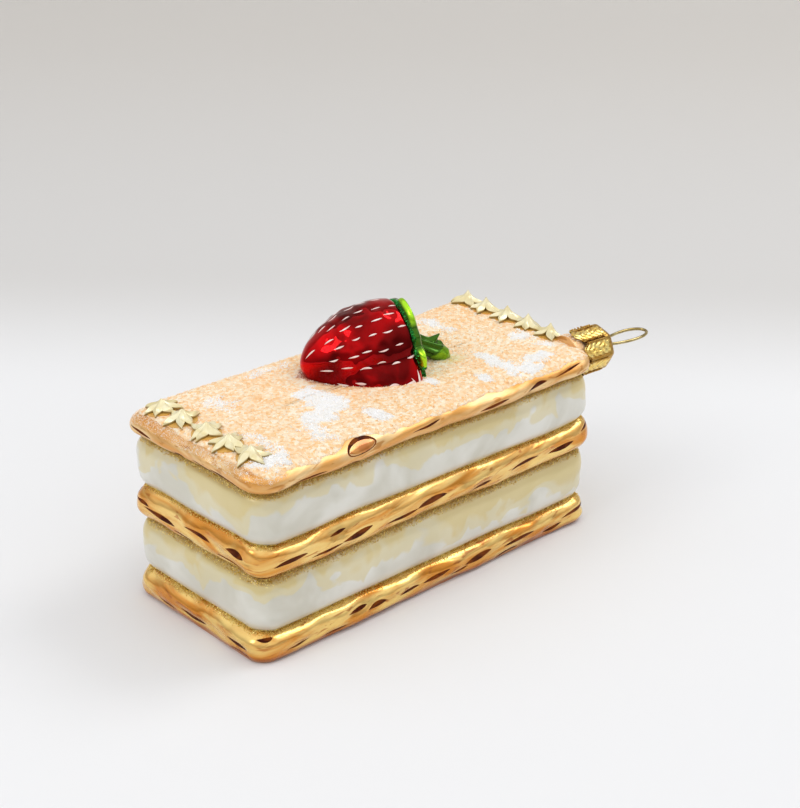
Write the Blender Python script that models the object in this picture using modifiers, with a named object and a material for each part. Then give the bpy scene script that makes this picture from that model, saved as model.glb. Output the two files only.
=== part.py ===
"""A blown-glass hanging ornament in the form of a slice of mille feuille.

One hollow-blown glass piece carries three pastry layers, two cream layers, a strawberry with its
leaves and two rows of piped cream stars. A thin crown cap grips the glass neck at the far end of
the top layer, and a brass wire loop comes out of the cap. Metres, +Z up. The long side runs along
X with the cap towards +X, and the origin is the centre of the flat underside.
"""

import math

import bmesh
import bpy
from mathutils import Matrix, Vector

MM = 0.001

# The slice: the outline of the bottom and middle layers, and how much further out the top stands.
SLICE_LENGTH = 110.0 * MM
SLICE_WIDTH = 48.0 * MM
TOP_OVERHANG = 1.0 * MM
# How far each layer stands out past the plan, from the bottom layer up.
OVERHANGS = (0.0, 0.0, 0.2 * MM, 0.6 * TOP_OVERHANG, TOP_OVERHANG)
PASTRY_CORNER = 5.5 * MM
CREAM_CORNER = 6.5 * MM
SHARPEST_CORNER = 1.5 * MM
# The two upper layers lean in towards the cap's corner: how far at the top, and where it starts.
LEAN = 2.0 * MM
LEAN_FROM = Vector((30.0, 8.0, 29.2)) * MM
LEAN_TO = Vector((55.0, -16.0, 42.3)) * MM
# Heights of the six boundaries of the five layers, and how much each one wanders up and down.
BOUNDARIES = [height * MM for height in (0.0, 7.1, 20.8, 29.2, 42.3, 47.8)]
WANDERS = [wander * MM for wander in (0.0, 0.45, 0.55, 0.7, 0.6, 0.45)]
# The unevenness round the outline: cycles in one turn, and the share of each.
WAVES = ((2, 0.30), (5, 0.30), (9, 0.25), (14, 0.15))
SWELL = 0.5 * MM
# Where the levels of a layer lie, as shares of its height.
PASTRY_LEVELS = (0.0, 0.18, 0.5, 0.82)
CREAM_LEVELS = (0.0, 0.12, 0.5, 0.88)
GROOVE = 2.8 * MM
BASE_INSET = 1.3 * MM
CREAM_INSET = 0.4 * MM
RIM_SLOPE = 3.6 * MM
TOP_CROWN = 0.5 * MM
SHOULDER_INSET = 4.0 * MM
CROWN_INSET = 10.0 * MM

# Points along each stretch of the outline.
LONG_STEPS, SHORT_STEPS, CORNER_STEPS = 15, 6, 4

BERRY_TIP = Vector((-14.1, 10.3, 51.0)) * MM
BERRY_YAW = math.radians(-19.3)
BERRY_PITCH = math.radians(8.3)
BERRY_LENGTH = 27.4 * MM
BERRY_RADIUS = 10.8 * MM
BERRY_WIDEST = 0.7
BERRY_TIP_FULLNESS = 0.62
BERRY_FOOT = 0.5
BERRY_END_DEPTH = 0.62

CALYX_RADIUS = 9.6 * MM
CALYX_CORE = 3.4 * MM
CALYX_LENGTH = 9.0 * MM
CALYX_LOBES = 6
CALYX_LOBE_DEPTH = 0.10
CALYX_SKIRT = 1.35
CALYX_OVERLAP = 0.42
STEM_LENGTH = 13.5 * MM
STEM_RADIUS = 3.3 * MM
STEM_TURN = math.radians(-10.0)
STEM_PITCH = math.radians(-27.0)

STAR_RADIUS = 4.4 * MM
STAR_HEIGHT = 3.4 * MM
STAR_ROOT = 0.5 * MM
STAR_ARMS = 5
STAR_ARM_DEPTH = 0.30
STAR_TWIST = 1.6
STAR_PEAK = 2.0
STAR_ROWS = (
    (-49.8 * MM, [y * MM for y in (-15.6, -7.6, 0.3, 9.1, 17.0)]),
    (51.0 * MM, [y * MM for y in (-10.3, -2.5, 4.8, 12.5, 19.2)]),
)

# The neck and everything on it share one axis, which starts on a flat seat in the top layer's end.
NECK_CENTRE = Vector((52.7, -16.4, 44.5)) * MM
SEAT_RADIUS = 6.1 * MM
SEAT_DEPTH = 4.0 * MM
NECK_YAW = math.radians(-4.0)
NECK_RADIUS = 4.0 * MM
NECK_LENGTH = 9.3 * MM
NECK_ROOT = 6.0 * MM

CAP_PETALS = 7
CAP_RADIUS = 5.7 * MM
CAP_START = 0.4 * MM
CAP_LENGTH = 10.0 * MM
CAP_SHEET = 0.45 * MM
CAP_DISC = 0.62
# The cap's profile from its disc to its rim: share of the radius, share of the length.
CAP_PROFILE = ((0.93, 0.96), (1.0, 0.78), (0.99, 0.45), (0.97, 0.16), (0.95, 0.0))
CAP_SLIT = 0.55 * MM
CAP_SLIT_LENGTH = 0.72 * CAP_LENGTH
CAP_SLIT_TURN = math.radians(28.4)

LOOP_WIRE = 0.8 * MM
LOOP_LENGTH = 15.1 * MM
LOOP_PITCH = math.radians(0.5)
LOOP_WIDTH = 7.0 * MM
LOOP_PINCH = 0.4
LOOP_POINTS = 28
LOOP_SIDES = 8

CLEARANCE = 0.3 * MM


def new_object(name, bm, collection):
    """Makes an object from a bmesh, with its faces pointing out."""
    bmesh.ops.recalc_face_normals(bm, faces=bm.faces)
    mesh = bpy.data.meshes.new(name)
    bm.to_mesh(mesh)
    bm.free()
    made = bpy.data.objects.new(name, mesh)
    collection.objects.link(made)
    return made


def lacquer(name, colour, roughness, metallic):
    material = bpy.data.materials.new(name)
    material.use_nodes = True
    shader = material.node_tree.nodes["Principled BSDF"]
    shader.inputs["Base Color"].default_value = (*colour, 1.0)
    shader.inputs["Roughness"].default_value = roughness
    shader.inputs["Metallic"].default_value = metallic
    return material


def smooth(obj, angle=35.0):
    obj.data.shade_smooth()
    obj.data.set_sharp_from_angle(angle=math.radians(angle))


# The slice ---------------------------------------------------------------------------------------


def outline(half_length, half_width, corner):
    """Points and outward directions round a rectangle with rounded corners, anticlockwise."""
    points = []
    signs = ((1, 1), (-1, 1), (-1, -1), (1, -1))
    for quarter, (sx, sy) in enumerate(signs):
        centre = Vector((sx * (half_length - corner), sy * (half_width - corner)))
        for step in range(CORNER_STEPS + 1):
            angle = math.radians(90.0) * (quarter + step / CORNER_STEPS)
            out = Vector((math.cos(angle), math.sin(angle)))
            points.append((centre + corner * out, out))
        following = signs[(quarter + 1) % 4]
        after = Vector((following[0] * (half_length - corner), following[1] * (half_width - corner)))
        steps = LONG_STEPS if quarter % 2 == 0 else SHORT_STEPS
        start, end = centre + corner * out, after + corner * out
        points += [(start.lerp(end, step / steps), out) for step in range(1, steps)]
    return points


def ripple(turn, layer):
    """A gentle unevenness round the outline, within about 1, different for each layer."""
    return sum(
        share * math.sin(2.0 * math.pi * (cycles * turn + 0.37 * layer * cycles + 0.21 * layer))
        for cycles, share in WAVES
    )


def boundary_height(boundary, turn):
    """The height of one of the six boundaries, which wander a little except the underside."""
    return BOUNDARIES[boundary] + WANDERS[boundary] * ripple(turn, boundary + len(BOUNDARIES) + 5)


def layer_inset(layer, share):
    """How far a layer's side stands in from its outline, at a share of its height."""
    across = abs(2.0 * share - 1.0)
    if layer == 4 and share > 0.5:
        return RIM_SLOPE * across**2.2
    if layer == 0 and share < 0.5:
        return BASE_INSET * across**3
    if layer % 2 == 0:
        return GROOVE * across**3
    return CREAM_INSET + (GROOVE - CREAM_INSET) * across**4


def leaned(place):
    """A point of the slice, drawn in by the lean towards the cap's corner."""
    amount = 1.0
    for value, start, end in zip(place, LEAN_FROM, LEAN_TO):
        amount *= max(0.0, min(1.0, (value - start) / (end - start)))
    return Vector((place.x - LEAN * amount, place.y, place.z))


def layer_ring(layer, share, extra_inset=0.0):
    """The points of one level of a layer."""
    corner = CREAM_CORNER if layer % 2 else PASTRY_CORNER
    inset = layer_inset(layer, share) - OVERHANGS[layer] + extra_inset
    corner = max(corner - inset, SHARPEST_CORNER)
    ring = outline(SLICE_LENGTH / 2 - inset, SLICE_WIDTH / 2 - inset, corner)
    points = []
    for number, (point, out) in enumerate(ring):
        turn = number / len(ring)
        swell = SWELL * ripple(turn, layer + 3) * 4.0 * share * (1.0 - share)
        low, high = boundary_height(layer, turn), boundary_height(layer + 1, turn)
        place = point + out * swell
        points.append(leaned(Vector((place.x, place.y, low + (high - low) * share))))
    return points


def slice_rings():
    """Every level of the stack from the underside up, then the crowned top."""
    rings = []
    for layer in range(5):
        levels = CREAM_LEVELS if layer % 2 else PASTRY_LEVELS
        rings += [layer_ring(layer, share) for share in levels]
    rings.append(layer_ring(4, 1.0))
    shoulder = layer_ring(4, 1.0, extra_inset=SHOULDER_INSET)
    rings.append([point + Vector((0.0, 0.0, 0.6 * TOP_CROWN)) for point in shoulder])
    middle = layer_ring(4, 1.0, extra_inset=CROWN_INSET)
    rings.append([Vector((point.x, point.y, BOUNDARIES[5] + TOP_CROWN)) for point in middle])
    return rings


def build_slice(collection):
    """A disc laid onto the first level and drawn up through the others."""
    rings = slice_rings()
    bm = bmesh.new()
    order = bm.verts.layers.int.new("order")
    bmesh.ops.create_circle(bm, cap_ends=True, segments=len(rings[0]), radius=1.0)
    bm.verts.ensure_lookup_table()
    for number, vert in enumerate(sorted(bm.verts, key=lambda v: math.atan2(v.co.y, v.co.x))):
        vert[order] = number
        vert.co = rings[0][number]
    underside = face = bm.faces[:][0]
    for ring in rings[1:]:
        drawn = bmesh.ops.extrude_face_region(bm, geom=[face])["geom"]
        if face is not underside:
            bmesh.ops.delete(bm, geom=[face], context="FACES_ONLY")
        face = next(item for item in drawn if isinstance(item, bmesh.types.BMFace))
        for vert in face.verts:
            vert.co = ring[vert[order]]
    return new_object("glass_body", bm, collection)


# What the mould puts on the slice -----------------------------------------------------------------


def turned(bm_points, start, yaw, pitch):
    """Moves points laid out along +X to a start, turned to a direction."""
    turn = Matrix.Rotation(yaw, 4, "Z") @ Matrix.Rotation(-pitch, 4, "Y")
    for vert in bm_points:
        vert.co = start + turn @ vert.co


def berry_radius(share):
    """The berry's radius at a share of its length from the tip."""
    if share < BERRY_WIDEST:
        return BERRY_RADIUS * (1.0 - (1.0 - share / BERRY_WIDEST) ** 2) ** BERRY_TIP_FULLNESS
    return BERRY_RADIUS * math.sqrt(1.0 - ((share - BERRY_WIDEST) / BERRY_END_DEPTH) ** 2)


def berry_foot(around):
    """How much further out the berry stands below its middle, where it runs straight down."""
    level, down = abs(math.cos(around)), max(0.0, -math.sin(around))
    if down == 0.0:
        return 1.0
    return (1.0 + BERRY_FOOT * down**2) / (level**4 + down**4) ** 0.25


def ball(segments, rings):
    """A unit sphere with its poles on X, as the blank of a drawn-out form."""
    bm = bmesh.new()
    bmesh.ops.create_uvsphere(bm, u_segments=segments, v_segments=rings, radius=1.0)
    bmesh.ops.rotate(bm, verts=bm.verts, matrix=Matrix.Rotation(math.radians(90.0), 3, "Y"))
    return bm


def build_berry(collection):
    bm = ball(24, 14)
    for vert in bm.verts:
        share = math.acos(max(-1.0, min(1.0, -vert.co.x))) / math.pi
        around = math.atan2(vert.co.z, vert.co.y)
        radius = berry_radius(share) * berry_foot(around)
        if share > 0.999:
            radius = 0.0
        vert.co = Vector(
            (share * BERRY_LENGTH, radius * math.cos(around), radius * math.sin(around))
        )
    turned(bm.verts, BERRY_TIP, BERRY_YAW, BERRY_PITCH)
    return new_object("berry_blank", bm, collection)


def berry_point(along):
    """A point on the berry's axis, at a distance from its tip."""
    turn = Matrix.Rotation(BERRY_YAW, 4, "Z") @ Matrix.Rotation(-BERRY_PITCH, 4, "Y")
    return BERRY_TIP + turn @ Vector((along, 0.0, 0.0))


def build_calyx(collection):
    """A lobed skirt of sepals on the berry's broad end, drawn in to the stem."""
    bm = ball(30, 8)
    for vert in bm.verts:
        share = math.acos(max(-1.0, min(1.0, -vert.co.x))) / math.pi
        around = math.atan2(vert.co.z, vert.co.y)
        lobe = 1.0 + CALYX_LOBE_DEPTH * math.cos(CALYX_LOBES * around + 0.6)
        skirt = CALYX_RADIUS * math.sin(math.pi * min(share * CALYX_SKIRT, 1.0)) ** 0.6
        radius = max(skirt, CALYX_CORE * math.sin(math.pi * share)) * lobe
        along = (share - CALYX_OVERLAP) * CALYX_LENGTH
        vert.co = Vector((along, radius * math.cos(around), radius * math.sin(around)))
    turned(bm.verts, berry_point(BERRY_LENGTH), BERRY_YAW, BERRY_PITCH)
    return new_object("calyx_blank", bm, collection)


def build_stem(collection):
    """The bent end of the stem, a drop with a short point that lies down towards the slice."""
    bm = ball(14, 8)
    for vert in bm.verts:
        share = math.acos(max(-1.0, min(1.0, -vert.co.x))) / math.pi
        around = math.atan2(vert.co.z, vert.co.y)
        radius = STEM_RADIUS * math.sin(math.pi * share) ** 0.7 * (0.8 + 0.35 * share)
        vert.co = Vector(
            (share * STEM_LENGTH, radius * math.cos(around), radius * math.sin(around))
        )
    turned(bm.verts, berry_point(BERRY_LENGTH), BERRY_YAW + STEM_TURN, STEM_PITCH)
    return new_object("stem_blank", bm, collection)


def build_star(name, centre_x, centre_y, spin, collection):
    """One piped star: a peaked mound whose ridges run out into pointed arms."""
    bm = bmesh.new()
    bmesh.ops.create_cone(
        bm, cap_ends=True, segments=STAR_ARMS * 4, radius1=1.0, radius2=0.12, depth=1.0
    )
    sides = [edge for edge in bm.edges if abs(edge.verts[0].co.z - edge.verts[1].co.z) > 0.5]
    bmesh.ops.subdivide_edges(bm, edges=sides, cuts=3)
    foot = BOUNDARIES[5] - STAR_ROOT
    for vert in bm.verts:
        rise = vert.co.z + 0.5
        around = math.atan2(vert.co.y, vert.co.x)
        reach = math.hypot(vert.co.x, vert.co.y)
        ridge = math.cos(STAR_ARMS * (around - spin) - STAR_TWIST * rise)
        arm = 1.0 - STAR_ARM_DEPTH + STAR_ARM_DEPTH * ridge
        radius = STAR_RADIUS * reach * (arm if reach > 0.2 else 0.9)
        height = (STAR_HEIGHT + STAR_ROOT) * rise**STAR_PEAK
        vert.co = Vector(
            (centre_x + radius * math.cos(around), centre_y + radius * math.sin(around), foot + height)
        )
    return new_object(name, bm, collection)


def rod_on_neck(name, radius, start, end, collection):
    """A round rod on the neck's axis, between two distances from the seat."""
    bm = bmesh.new()
    bmesh.ops.create_cone(
        bm, cap_ends=True, segments=24, radius1=radius, radius2=radius, depth=1.0
    )
    bmesh.ops.rotate(bm, verts=bm.verts, matrix=Matrix.Rotation(math.radians(90.0), 3, "Y"))
    for vert in bm.verts:
        vert.co.x = start if vert.co.x < 0.0 else end
    turned(bm.verts, NECK_CENTRE, NECK_YAW, 0.0)
    return new_object(name, bm, collection)


# The fittings -------------------------------------------------------------------------------------


def build_cap(collection):
    """A crown cap: a domed disc whose rim is cut into petals that lie along the neck."""
    bm = bmesh.new()
    per_petal = 4
    segments = CAP_PETALS * per_petal
    bmesh.ops.create_circle(bm, cap_ends=True, segments=segments, radius=CAP_RADIUS * CAP_DISC)
    bmesh.ops.poke(bm, faces=bm.faces)
    bmesh.ops.rotate(bm, verts=bm.verts, matrix=Matrix.Rotation(math.radians(90.0), 3, "Y"))
    end = CAP_START + CAP_LENGTH
    for vert in bm.verts:
        vert.co.x = end
    rim = [edge for edge in bm.edges if edge.is_boundary]
    for reach, share in CAP_PROFILE:
        drawn = bmesh.ops.extrude_edge_only(bm, edges=rim)["geom"]
        rim = [item for item in drawn if isinstance(item, bmesh.types.BMEdge)]
        rim = [edge for edge in rim if edge.is_boundary]
        for vert in {vert for edge in rim for vert in edge.verts}:
            around = math.atan2(vert.co.z, vert.co.y)
            radius, along = CAP_RADIUS * reach, CAP_START + CAP_LENGTH * share
            vert.co = Vector((along, radius * math.cos(around), radius * math.sin(around)))
    turned(bm.verts, NECK_CENTRE, NECK_YAW, 0.0)
    cap = new_object("cap", bm, collection)
    sheet = cap.modifiers.new("sheet", "SOLIDIFY")
    sheet.thickness = CAP_SHEET
    sheet.offset = -1.0
    sheet.use_even_offset = True
    return cap


def build_slits(collection):
    """Thin blades that part the cap's rim into petals, each from inside the wall out past it."""
    blades = []
    for number in range(CAP_PETALS):
        bm = bmesh.new()
        bmesh.ops.create_cube(bm, size=1.0)
        size = Vector((CAP_SLIT_LENGTH, CAP_RADIUS, CAP_SLIT))
        bmesh.ops.scale(bm, verts=bm.verts, vec=size)
        middle = CAP_START + CAP_SLIT_LENGTH / 2 - 0.5 * MM
        bmesh.ops.translate(bm, verts=bm.verts, vec=Vector((middle, CAP_RADIUS, 0.0)))
        turn = CAP_SLIT_TURN + 2.0 * math.pi * number / CAP_PETALS
        spin = Matrix.Rotation(turn, 3, "X")
        bmesh.ops.rotate(bm, verts=bm.verts, matrix=spin)
        turned(bm.verts, NECK_CENTRE, NECK_YAW, 0.0)
        blades.append(new_object(f"slit_{number}", bm, collection))
    return blades


def build_hanger(collection):
    """The wire loop, a long drop with its two ends turned in through the cap's disc."""
    spline_points = []
    base = CAP_START + CAP_LENGTH + CLEARANCE + LOOP_WIRE / 2
    for number in range(LOOP_POINTS + 1):
        angle = 2.0 * math.pi * (0.5 + number / LOOP_POINTS)
        share = (1.0 + math.cos(angle)) / 2.0
        width = LOOP_WIDTH / 2.0 * math.sin(angle) * (1.0 - LOOP_PINCH * (1.0 - share))
        spline_points.append(Vector((base + LOOP_LENGTH * share, width, 0.0)))
    curve = bpy.data.curves.new("hanger", "CURVE")
    curve.dimensions = "3D"
    curve.bevel_depth = LOOP_WIRE / 2.0
    curve.bevel_resolution = (LOOP_SIDES - 4) // 2
    curve.use_fill_caps = True
    spline = curve.splines.new("POLY")
    spline.points.add(LOOP_POINTS - 1)
    spline.use_cyclic_u = True
    turn = Matrix.Rotation(NECK_YAW, 4, "Z") @ Matrix.Rotation(-LOOP_PITCH, 4, "Y")
    for point, place in zip(spline.points, spline_points[:-1]):
        point.co = (*(NECK_CENTRE + turn @ place), 1.0)
    hanger = bpy.data.objects.new("hanger", curve)
    collection.objects.link(hanger)
    return hanger


def combine(target, blank, operation):
    """Fuses a blank into a piece, or cuts it out, and hides the blank."""
    boolean = target.modifiers.new(blank.name, "BOOLEAN")
    boolean.operation = operation
    boolean.object = blank
    blank.hide_render = True
    blank.display_type = "WIRE"


def build():
    for obj in list(bpy.data.objects):
        bpy.data.objects.remove(obj, do_unlink=True)
    parts = bpy.data.collections.new("mille_feuille_ornament")
    blanks = bpy.data.collections.new("blanks")
    for collection in (parts, blanks):
        bpy.context.scene.collection.children.link(collection)

    glass = build_slice(parts)
    joined = [
        build_berry(blanks),
        build_calyx(blanks),
        build_stem(blanks),
    ]
    for row, (centre_x, centres_y) in enumerate(STAR_ROWS):
        for number, centre_y in enumerate(centres_y):
            spin = 0.9 * number + 0.5 * row
            joined.append(build_star(f"star_{row}_{number}", centre_x, centre_y, spin, blanks))
    for blank in joined:
        combine(glass, blank, "UNION")
    combine(glass, rod_on_neck("seat_blank", SEAT_RADIUS, 0.0, SEAT_DEPTH, blanks), "DIFFERENCE")
    combine(glass, rod_on_neck("neck_blank", NECK_RADIUS, -NECK_ROOT, NECK_LENGTH, blanks), "UNION")
    glass.data.materials.append(lacquer("painted_glass", (0.86, 0.72, 0.50), 0.25, 0.1))

    cap = build_cap(parts)
    for blade in build_slits(blanks):
        combine(cap, blade, "DIFFERENCE")
    cap.data.materials.append(lacquer("gold_cap", (0.83, 0.60, 0.20), 0.25, 1.0))

    hanger = build_hanger(parts)
    hanger.data.materials.append(lacquer("brass_wire", (0.70, 0.58, 0.30), 0.2, 1.0))
    for made in (glass, cap):
        smooth(made)


build()
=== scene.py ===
"""The looks of a blown-glass hanging ornament in the form of a slice of mille feuille.

Metres, +Z up. The long side runs along X with the cap towards +X, and the origin is the centre of
the flat underside.
"""

import math
import random

import bmesh
import bpy
from mathutils import Matrix, Vector, noise
from mathutils.bvhtree import BVHTree


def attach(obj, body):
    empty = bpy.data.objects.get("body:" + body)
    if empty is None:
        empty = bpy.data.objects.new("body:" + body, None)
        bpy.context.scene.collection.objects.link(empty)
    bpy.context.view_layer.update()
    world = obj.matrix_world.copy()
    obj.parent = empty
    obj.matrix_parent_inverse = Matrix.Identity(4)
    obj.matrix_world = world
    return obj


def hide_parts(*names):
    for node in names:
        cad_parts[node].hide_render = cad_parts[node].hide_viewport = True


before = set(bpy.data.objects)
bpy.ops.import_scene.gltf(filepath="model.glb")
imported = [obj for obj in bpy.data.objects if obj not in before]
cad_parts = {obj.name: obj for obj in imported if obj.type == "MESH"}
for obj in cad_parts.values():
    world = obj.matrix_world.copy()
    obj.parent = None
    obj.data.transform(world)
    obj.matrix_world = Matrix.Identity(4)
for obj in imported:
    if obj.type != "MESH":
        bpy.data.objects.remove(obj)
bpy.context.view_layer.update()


# The bottom pastry layer -------------------------------------------------------------------------
# A bar of the one blown-glass body, silvered inside and sprayed with see-through gold-brown
# lacquer. The mould gives it soft sides with shallow slanting hollows all round.

MM = 0.001
SLICE_LENGTH = 110.0 * MM
SLICE_WIDTH = 48.0 * MM
# Heights of the six boundaries of the five layers, how much each wanders up and down, and how far
# each layer stands out past the plan.
BOUNDARIES = [height * MM for height in (0.0, 7.1, 20.8, 29.2, 42.3, 47.8)]
WANDERS = [wander * MM for wander in (0.0, 0.45, 0.55, 0.7, 0.6, 0.45)]
OVERHANGS = [reach * MM for reach in (0.0, 0.0, 0.2, 0.6, 1.0)]
WAVES = ((2, 0.30), (5, 0.30), (9, 0.25), (14, 0.15))
SWELL = 0.5 * MM
GROOVE = 2.8 * MM
BASE_INSET = 1.3 * MM
CREAM_INSET = 0.4 * MM
RIM_SLOPE = 3.6 * MM
PASTRY_CORNER = 5.5 * MM
CREAM_CORNER = 6.5 * MM
# The waves step evenly along each stretch of the plan: a corner, a long side, a corner, an end.
WAVE_STEPS = (4, 15, 4, 6)

# The two upper layers lean in towards the cap's corner: how far at the top, and where it starts.
LEAN = 2.0 * MM
LEAN_FROM = Vector((30.0, 8.0, 29.2)) * MM
LEAN_TO = Vector((55.0, -16.0, 42.3)) * MM

PASTRY_COLUMNS, PASTRY_LEVELS = 840, 18
HOLLOW_LENGTH = 9.5 * MM
HOLLOW_HEIGHT = 2.8 * MM
HOLLOW_DEPTH = 0.62 * MM
STROKE_PRESS = 0.30 * MM
STROKE_SLANT = math.radians(5.0)
# The strokes: distance from the front left corner, share of the height, length and width in mm.
BOTTOM_STROKES = (
    (-33.0, 0.30, 6.0, 0.5),
    (-23.8, 0.38, 9.0, 1.0),
    (-7.5, 0.45, 7.0, 1.0),
    (-6.5, 0.16, 7.0, 0.5),
    (1.0, 0.84, 5.0, 0.8),
    (10.0, 0.36, 7.0, 0.45),
    (21.3, 0.24, 6.5, 0.6),
    (28.0, 0.62, 6.0, 1.1),
    (34.0, 0.50, 6.0, 1.4),
    (44.5, 0.46, 6.5, 0.9),
    (53.3, 0.52, 9.0, 1.2),
    (61.0, 0.36, 6.0, 0.6),
    (67.5, 0.52, 9.5, 1.7),
    (78.0, 0.18, 8.0, 0.6),
    (82.0, 0.52, 11.0, 1.1),
    (94.6, 0.30, 7.0, 0.9),
    (103.0, 0.60, 10.5, 1.2),
)
MIDDLE_STROKES = (
    (-41.5, 0.62, 6.0, 0.9),
    (-34.7, 0.46, 11.5, 1.1),
    (-26.0, 0.24, 7.0, 0.45),
    (-21.0, 0.55, 9.0, 1.0),
    (-10.0, 0.22, 9.0, 0.6),
    (-7.5, 0.60, 6.0, 1.6),
    (1.0, 0.14, 11.0, 0.4),
    (8.0, 0.50, 9.5, 1.4),
    (18.5, 0.36, 9.0, 0.7),
    (21.8, 0.72, 5.0, 0.7),
    (27.4, 0.46, 9.5, 1.5),
    (41.5, 0.38, 10.0, 0.9),
    (51.0, 0.50, 9.5, 1.9),
    (67.5, 0.36, 6.5, 0.9),
    (82.5, 0.50, 10.0, 1.0),
    (95.5, 0.50, 9.0, 1.3),
    (106.0, 0.74, 6.0, 0.9),
)
TOP_STROKES = (
    (-39.7, 0.42, 8.0, 0.7),
    (-26.0, 0.20, 3.5, 0.8),
    (-17.0, 0.26, 8.0, 0.6),
    (-8.5, 0.24, 12.0, 1.2),
    (13.0, 0.26, 9.0, 0.55),
    (24.0, 0.16, 7.0, 0.4),
    (48.0, 0.56, 9.0, 0.55),
    (69.5, 0.44, 9.5, 0.95),
    (85.0, 0.52, 7.5, 1.2),
    (97.0, 0.66, 11.0, 0.45),
)
BAND_SLANT = 0.10


def select_nothing():
    """Nothing stays selected, so that the next operator acts on the new piece alone."""
    if bpy.context.object and bpy.context.object.mode != "OBJECT":
        bpy.ops.object.mode_set(mode="OBJECT")
    bpy.ops.object.select_all(action="DESELECT")


def take_new(name):
    """The piece that an operator has just added, named, with its place in its mesh."""
    piece = bpy.context.object
    piece.name = piece.data.name = name
    bpy.ops.object.transform_apply(location=True, rotation=True, scale=True)
    return piece


def pick(kind, test):
    """Selects the edges or faces of the piece in edit mode that pass a test."""
    bpy.ops.mesh.select_mode(type=kind)
    bpy.ops.mesh.select_all(action="DESELECT")
    mesh = bpy.context.object.data
    bm = bmesh.from_edit_mesh(mesh)
    for part in bm.edges if kind == "EDGE" else bm.faces:
        part.select_set(test(part))
    bmesh.update_edit_mesh(mesh)


def is_upright(edge):
    return abs(edge.verts[0].co.z - edge.verts[1].co.z) > 0.5


def is_top(face):
    return face.normal.z > 0.9


def drum(name, columns, levels, rings=0):
    """A round blank one unit high, its side cut into columns and levels and its top into rings."""
    select_nothing()
    bpy.ops.mesh.primitive_cylinder_add(vertices=columns, radius=1.0, depth=1.0, location=(0, 0, 0.5))
    blank = take_new(name)
    bpy.ops.object.mode_set(mode="EDIT")
    if levels > 1:
        pick("EDGE", is_upright)
        bpy.ops.mesh.subdivide(number_cuts=levels - 1)
    pick("FACE", is_top)
    for _ in range(rings):
        bpy.ops.mesh.inset(thickness=1.0 / (rings + 1))
    bpy.ops.object.mode_set(mode="OBJECT")
    return blank


def share_round(vert):
    """A point's share of the way round a drum."""
    return math.atan2(vert.co.y, vert.co.x) / (2.0 * math.pi) % 1.0


def shape(piece, place):
    """Moves each point of a drum to its place, given its share of the way round, height and reach."""
    for vert in piece.data.vertices:
        vert.co = place(share_round(vert), vert.co.z, min(1.0, math.hypot(vert.co.x, vert.co.y)))
    piece.data.update()


def select_only(piece):
    select_nothing()
    piece.select_set(True)
    bpy.context.view_layer.objects.active = piece


def smooth(piece, angle=40.0):
    """Smooth shading, with an edge left crisp only where the piece has one."""
    select_only(piece)
    bpy.ops.object.shade_smooth_by_angle(angle=math.radians(angle))


def plan_length(corner):
    """The distance once round the slice."""
    return 2.0 * (SLICE_LENGTH + SLICE_WIDTH) - 8.0 * corner + 2.0 * math.pi * corner


def go_round(share, corner):
    """A point on the plan, a share of the way round, the way out from it, and its turn of waves."""
    half_x, half_y = SLICE_LENGTH / 2 - corner, SLICE_WIDTH / 2 - corner
    arc = corner * math.pi / 2
    runs = (arc, 2 * half_x, arc, 2 * half_y) * 2
    left, steps_before = share * sum(runs), 0
    number = 0
    while number < len(runs) - 1 and left > runs[number]:
        left -= runs[number]
        steps_before += WAVE_STEPS[number % 4]
        number += 1
    part = min(left / runs[number], 1.0)
    quarter = number // 2
    signs = ((1, 1), (-1, 1), (-1, -1), (1, -1), (1, 1))
    start = Vector((signs[quarter][0] * half_x, signs[quarter][1] * half_y))
    if number % 2 == 0:
        angle = math.pi / 2 * (quarter + part)
        centre = start
    else:
        angle = math.pi / 2 * (quarter + 1)
        centre = start.lerp(Vector((signs[quarter + 1][0] * half_x, signs[quarter + 1][1] * half_y)), part)
    out = Vector((math.cos(angle), math.sin(angle)))
    turn = (steps_before + part * WAVE_STEPS[number % 4]) / (2 * sum(WAVE_STEPS))
    return centre + corner * out, out, turn


def ripple(turn, layer):
    """A gentle unevenness round the outline, within about 1, different for each layer."""
    return sum(
        share * math.sin(2.0 * math.pi * (cycles * turn + 0.37 * layer * cycles + 0.21 * layer))
        for cycles, share in WAVES
    )


def boundary_height(boundary, turn):
    return BOUNDARIES[boundary] + WANDERS[boundary] * ripple(turn, boundary + 11)


def side_inset(layer, height):
    """How far a layer's side stands in at a share of its height."""
    across = abs(2.0 * height - 1.0)
    if layer == 4 and height > 0.5:
        return RIM_SLOPE * across**2.2
    if layer == 0 and height < 0.5:
        return BASE_INSET * across**3
    if layer % 2 == 0:
        return GROOVE * across**3
    return CREAM_INSET + (GROOVE - CREAM_INSET) * across**4


def leaned(place):
    """A point of the slice, drawn in by the lean towards the cap's corner."""
    amount = 1.0
    for value, start, end in zip(place, LEAN_FROM, LEAN_TO):
        amount *= max(0.0, min(1.0, (value - start) / (end - start)))
    return Vector((place.x - LEAN * amount, place.y, place.z))


def on_side(layer, share, height):
    """A point on a layer's side before any pressing, and the way out from it."""
    corner = CREAM_CORNER if layer % 2 else PASTRY_CORNER
    point, out, turn = go_round(share, corner)
    low, high = boundary_height(layer, turn), boundary_height(layer + 1, turn)
    swell = SWELL * ripple(turn, layer + 3) * 4.0 * height * (1.0 - height)
    place = point + out * (OVERHANGS[layer] - side_inset(layer, height) + swell)
    return leaned(Vector((place.x, place.y, low + (high - low) * height))), out


def from_front_corner(share):
    """The distance from the slice's front left corner, one way round or the other."""
    corner_share = 0.5 + PASTRY_CORNER * math.pi / 4 / plan_length(PASTRY_CORNER)
    return ((share - corner_share + 0.5) % 1.0 - 0.5) * plan_length(PASTRY_CORNER)


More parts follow.
